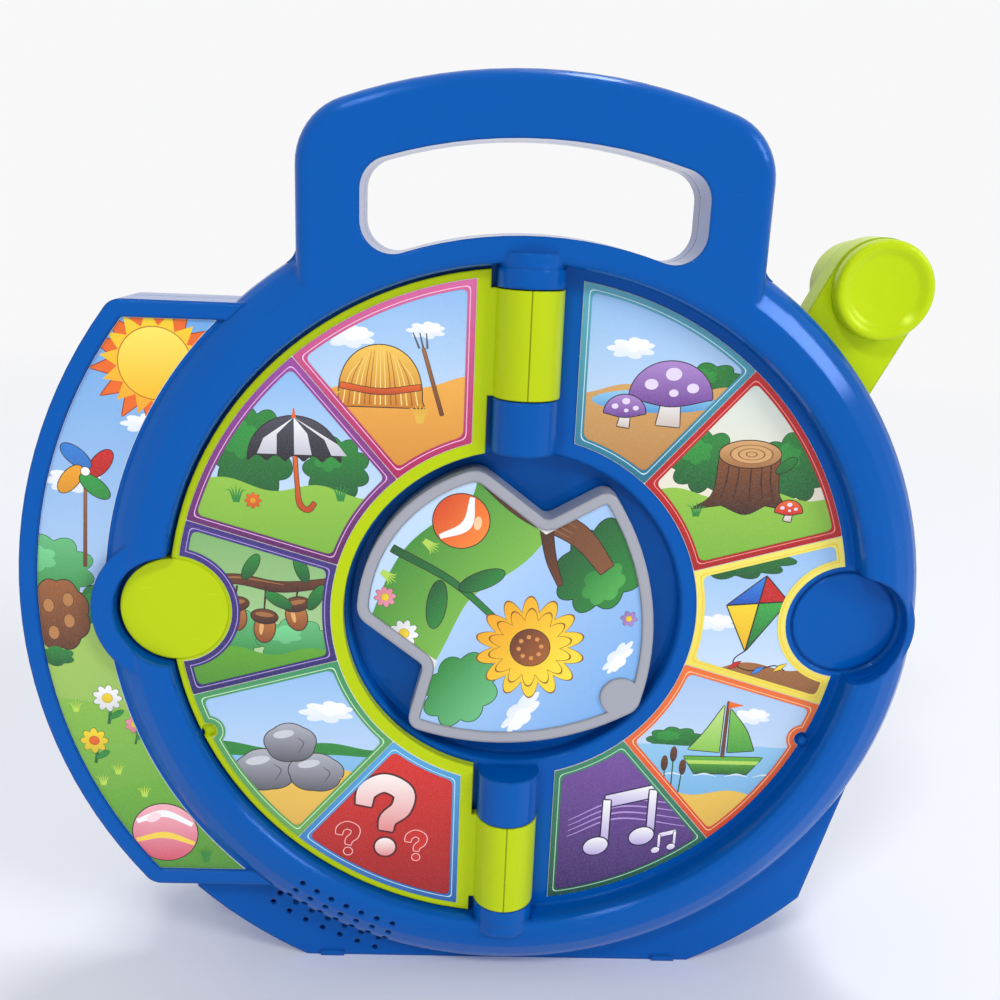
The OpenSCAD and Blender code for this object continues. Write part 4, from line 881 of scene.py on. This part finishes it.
def side_window(p):
    p = cut(p, (0, 1), PANEL_TOP)
    p = cut(p, (0, -1), PANEL_FOOT) if len(p) > 2 else p
    if len(p) < 3:
        return p
    return outside(polar_cut(p, -1, ((0, 1, PANEL_OUT), (0, -1, -PANEL_IN))), (-TAB_X, 0), 1, COLLAR_R)


side.window = side_window
side.ink([(-160, -100), (-60, -100), (-60, 100), (-160, 100)], rgb(240, 246, 250), rgb(112, 176, 232))
for cx, cy, w in ((-134, 40, 9), (-112, 58, 7), (-136, 2, 7)):
    cloud(side, cx, cy, w)
side.ink(spiky(-108, 76, 19, 12, 14, 0.1), rgb(244, 120, 30), ORANGE, line=0.3, key=rgb(170, 70, 20))
side.ink(spiky(-108, 76, 16, 11, 14, 0.32), GOLD, YELLOW)
side.ink(oval(-108, 76, 10.5), rgb(250, 200, 40), rgb(255, 236, 110), line=0.3, key=rgb(200, 120, 20))
bush(side, -143, 12, 14, 11, LEAF, MINT)
bush(side, -128, -2, 13, 9, DARK_LEAF, LEAF)
for k, (y, low, high) in enumerate(((-8, rgb(120, 176, 70), rgb(178, 210, 110)),
                                    (-34, rgb(90, 160, 60), rgb(150, 200, 84)),
                                    (-60, rgb(70, 140, 50), rgb(130, 190, 70)))):
    u = np.linspace(-160, -70, 60)
    top = y + 3.5 * np.sin(u * 0.09 + k * 2) + (u + 130) * 0.08
    side.ink(np.vstack([xy(u, top), [(-70, -110), (-160, -110)]]), low, high)
pin = (-130, 43)
side.ink(ribbon([(-132, 13), pin], [0.9, 0.7], 6), BARK, PALE_BARK, line=0.15)
for k, c in enumerate((RED, rgb(60, 140, 220), GOLD, rgb(60, 170, 80))):
    a = k * np.pi / 2 + 0.5
    vane = oval(pin[0] + 5.2 * np.cos(a), pin[1] + 5.2 * np.sin(a), 5.2, 2.5, k * 90 + 50)
    side.ink(vane, toned(c, 0.8), c, line=0.25)
side.ink(oval(*pin, 1.3), WHITE, line=0.2)
side.ink(puffs(-141, -3, 9.5, 12, 8, 0.1), rgb(110, 66, 34), rgb(170, 110, 62), line=0.3)
for dx, dy in ((-3, 3), (3, -2), (-2, -6), (3, 5)):
    side.ink(oval(-141 + dx, -3 + dy, 1.6, 2.2), rgb(196, 140, 86), line=0.15, key=DARK_BARK)
side.ink(puffs(-143, -17, 6, 3.4, 6, 0.2), DARK_LEAF, LEAF)
flower(side, -128, -31, 4.6, WHITE, YELLOW, 9, stem=9)
flower(side, -133, -46, 4.4, YELLOW, ORANGE, 8, stem=8)
flower(side, -120, -40, 3.0, PINK, YELLOW, 7, stem=7)
for cx, cy in ((-138, -36), (-126, -58), (-118, -66), (-131, -62)):
    tuft(side, cx, cy, 4.5, rgb(196, 226, 96))
side.ink(oval(-112, -79, 10.5), rgb(220, 100, 120), rgb(250, 190, 200), line=0.3)
side.ink(ribbon([(-121, -75), (-112, -72), (-103, -76)], [1.6, 2.6, 1.6], 24), WHITE)
side.ink(ribbon([(-121.5, -82), (-112, -80), (-102.6, -83)], [1.4, 2.4, 1.4], 24), rgb(250, 220, 90))
side.ink(oval(-115.5, -73.5, 2.6, 1.5, 30), rgb(255, 226, 230))
tuft(side, -99, -90, 6, LEAF)
tuft(side, -96, -82, 5, rgb(196, 226, 96))
side.finish("side_panel_print", inked("side print"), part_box("side_panel_label")[0].y / MM, "body")


# ---- Spinner print -----------------------------------
# The sunk picture on the arrow, drawn with its top towards the arrow's point: trees and
# a trunk at the tail, a big sunflower in the middle, sky at the head.

arrow = Sheet()
ARROW_AT = np.radians(-37.0)            # direction of the arrow's point at rest
c, s = np.cos(ARROW_AT - np.pi / 2), np.sin(ARROW_AT - np.pi / 2)
arrow.turn = np.array([[c, s], [-s, c]])


def inside_planes(bounds):
    """A window that keeps what lies in every one of these half-planes."""
    def window(p):
        for normal, limit in bounds:
            p = cut(p, normal, limit) if len(p) > 2 else p
        return p
    return window


def arc_planes(cx, cy, r, a0, a1, n=9):
    """Half-planes tangent to an arc from a0 to a1 degrees."""
    a = np.radians(np.linspace(a0, a1, n))
    return [((np.cos(t), np.sin(t)), cx * np.cos(t) + cy * np.sin(t) + r) for t in a]


# the arrow's waist, and its barbs' normals
WAIST, BARB = -10.1, ((0.388, -0.922), (-0.388, -0.922))
head = (arc_planes(-30.0, -28.0, 80.4, 19.4, 67.2) + arc_planes(30.0, -28.0, 80.4, 112.8, 160.6)
        + [((0, -1), -WAIST)] + [(normal, 19.75) for normal in BARB])
tail = (arc_planes(0, 0, 45.9, 236, 304, 13) + arc_planes(23.5, -35.4, 3.4, 304, 360, 5)
        + arc_planes(-23.5, -35.4, 3.4, 180, 236, 5) + [((0, 1), WAIST)])


def sunflower(s):
    """A big sunflower over a bank with trees, on a pale sky."""
    s.ink([(-60, -60), (60, -60), (60, 60), (-60, 60)], rgb(214, 234, 252), rgb(120, 178, 236))
    cloud(s, 24, 22, 9)
    cloud(s, -10, 34, 7)
    s.ink(puffs(-30, 10, 17, 13, 9, 0.18), DARK_LEAF, LEAF, line=0.3, key=rgb(10, 70, 40))
    s.ink(puffs(-26, 14, 8, 6, 7, 0.2), LEAF, rgb(96, 186, 92))
    s.ink(puffs(30, 2, 14, 11, 8, 0.18), LEAF, MINT, line=0.3, key=DARK_LEAF)
    bank = ribbon([(-46, -30), (-22, -22), (4, -28), (34, -22), (48, -30)], [30, 26, 26, 24, 24], 60)
    s.ink(bank, rgb(70, 150, 56), rgb(140, 198, 84))
    trunk = ribbon([(-34, -44), (-30, -22), (-33, -2), (-30, 12)], [11, 8, 7, 5], 40)
    s.ink(trunk, DARK_BARK, rgb(146, 96, 56), line=0.3)
    s.ink(ribbon([(-31, -14), (-22, -4), (-17, 4)], [4, 3, 1.5], 20), DARK_BARK, BARK, line=0.3)
    for k in (-2.6, 0.2, 2.2):
        s.ink(ribbon([(-33 + k, -40), (-30 + k, -22), (-32.4 + k * 0.8, -4)], [0.3, 0.5, 0.2], 24), PALE_BARK)
    s.ink(ribbon([(6, -44), (3, -22), (5, 2)], [2.4, 2.0, 1.6], 24), DARK_LEAF, LEAF, line=0.25)
    s.ink(oval(12, -22, 8, 3.0, 30), DARK_LEAF, LEAF, line=0.25)
    s.ink(oval(-3, -16, 7.5, 2.8, 150), DARK_LEAF, LEAF, line=0.25)
    for radius, turned in ((17, 0.0), (13, 0.22)):
        s.ink(puffs(5, 10, radius + 0.5, radius + 0.5, 14, 0.3, turned, 168), rgb(150, 84, 20))
        s.ink(puffs(5, 10, radius, radius, 14, 0.3, turned, 168), rgb(246, 180, 20), rgb(255, 232, 70))
    s.ink(oval(5, 10, 6.2), rgb(120, 64, 24), rgb(178, 108, 48), line=0.25)
    for a in np.arange(0, 6.28, 0.785):
        s.ink(oval(5 + 3.6 * np.cos(a), 10 + 3.6 * np.sin(a), 0.7), rgb(226, 160, 90))
    s.ink(oval(-14, -33, 8.6), rgb(226, 86, 24), rgb(255, 150, 60), line=0.3)
    s.ink(ribbon([(-22, -35), (-14, -31), (-6, -35)], [1.5, 3.4, 1.5], 20), WHITE)
    s.ink(oval(-16.6, -28.6, 2.2, 1.2, 30), rgb(255, 214, 170))
    flower(s, 26, -24, 4.6, WHITE, YELLOW, 9)
    flower(s, 20, -36, 3.4, PINK, YELLOW, 8)
    flower(s, -22, 28, 2.6, LILAC, YELLOW, 6)
    for cx, cy in ((-2, -38), (14, -42), (32, -34)):
        tuft(s, cx, cy, 6, rgb(190, 224, 96))


for bounds in (head, tail):
    arrow.window, arrow.level = inside_planes(bounds), 0
    sunflower(arrow)
TIP_AWAY, TIP_R = 43.5, 6.6        # the round boss at the arrow's tip: distance from the axis, radius
TIP_HOLE = (TIP_AWAY * np.cos(ARROW_AT), TIP_AWAY * np.sin(ARROW_AT), TIP_R)
arrow.finish("spinner_print", inked("spinner print", TIP_HOLE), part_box("spinner_label")[0].y / MM, "spinner")


# ---- Room --------------------------------------------
# A plain pale floor under soft lamps, and the camera at the photo's own view: its focal
# length, place and turn were worked out from the circles and upright edges.

BACKDROP = (0.94, 0.94, 0.95, 1)
FADE_MIDDLE, FADE_WIDTH = 1.0, 1.1      # distance at which the floor turns into the backdrop, m

floor_mesh = bpy.data.meshes.new("studio_floor")
floor_mesh.from_pydata([(-4, -4, 0), (4, -4, 0), (4, 6, 0), (-4, 6, 0)], [], [(0, 1, 2, 3)])
floor = new_object("studio_floor", floor_mesh)


def background_rays(f):
    """1 for the rays that show the background: seen, mirrored or let through."""
    seen, mirrored, through = (f.add("ShaderNodeLightPath", {}, out=f"Is {k} Ray")
                               for k in ("Camera", "Glossy", "Transmission"))
    return (seen + mirrored + through).math("MINIMUM", 1.0)


pale = Finish("pale floor", rgb(243, 244, 248), 0.5)
floor_x, floor_y = pale.along(0), pale.along(1)
far = (floor_x * floor_x + floor_y * floor_y).math("SQRT").above(FADE_MIDDLE, FADE_WIDTH)
backdrop = pale.add("ShaderNodeEmission", {}, BACKDROP, 1.0)
near = Wire(pale, pale.shader.outputs[0])
faded = pale.add("ShaderNodeMixShader", {}, far * background_rays(pale), near, backdrop)
pale.tree.links.new(faded.socket, pale.tree.nodes["Material Output"].inputs[0])
floor_mesh.materials.append(pale.material)


def stand(piece, right, up, back, place):
    """Turns an object so that its axes are right, up and back, and sets it in its place."""
    matrix = np.eye(4)
    matrix[:3] = np.stack([right, up, back, place], 1)
    piece.matrix_world = Matrix(matrix.tolist())


def lamp(name, place, target, size, watts):
    data = bpy.data.lights.new(name, "AREA")
    data.shape, data.size, data.size_y, data.energy = "RECTANGLE", *size, watts
    back = np.array(place) - np.array(target)
    back = back / np.linalg.norm(back)
    right = np.cross((0, 0, 1), back)
    right = right / np.linalg.norm(right)
    stand(new_object(name, data), right, np.cross(back, right), back, place)


MIDDLE = (0, 0, 0.13)
lamp("key_lamp", (-1.4, -3.0, 3.2), MIDDLE, size=(0.8, 0.6), watts=54)
lamp("fill_lamp", (3.0, -2.2, 1.8), MIDDLE, size=(1.2, 1.2), watts=62)
lamp("top_lamp", (0.4, 0.7, 3.7), (0, 0.3, 0.13), size=(1.2, 0.4), watts=44)


class Air(Finish):
    """The world's nodes, made in the same way as a material's."""

    def __init__(self, world):
        world.use_nodes = True
        self.tree = world.node_tree


world = bpy.data.worlds.new("studio")
air = Air(world)
glow = air.add("ShaderNodeBackground", {}, (0.9, 0.92, 1.0, 1), 0.45)
shown = air.add("ShaderNodeBackground", {}, BACKDROP, 1.0)
sky_light = air.add("ShaderNodeMixShader", {}, background_rays(air), glow, shown)
air.tree.links.new(sky_light.socket, air.tree.nodes["World Output"].inputs[0])
bpy.context.scene.world = world
bpy.context.scene.view_settings.view_transform = "Standard"

camera_data = bpy.data.cameras.new("camera")
camera_data.sensor_width, camera_data.lens = 36, 38.016
camera_data.clip_start = 0.01
camera = new_object("camera", camera_data)
CAMERA_AT = np.array([-17.6, -343.5, 258.2]) * MM
PITCH, YAW, ROLL = np.radians([15.80, 2.08, 2.39])
forward = np.array([np.sin(YAW) * np.cos(PITCH), np.cos(YAW) * np.cos(PITCH), -np.sin(PITCH)])
level = np.array([np.cos(YAW), -np.sin(YAW), 0.0])
upward = np.cross(level, forward)
stand(camera, np.cos(ROLL) * level + np.sin(ROLL) * upward, np.cos(ROLL) * upward - np.sin(ROLL) * level,
      -forward, CAMERA_AT)
bpy.context.scene.camera = camera
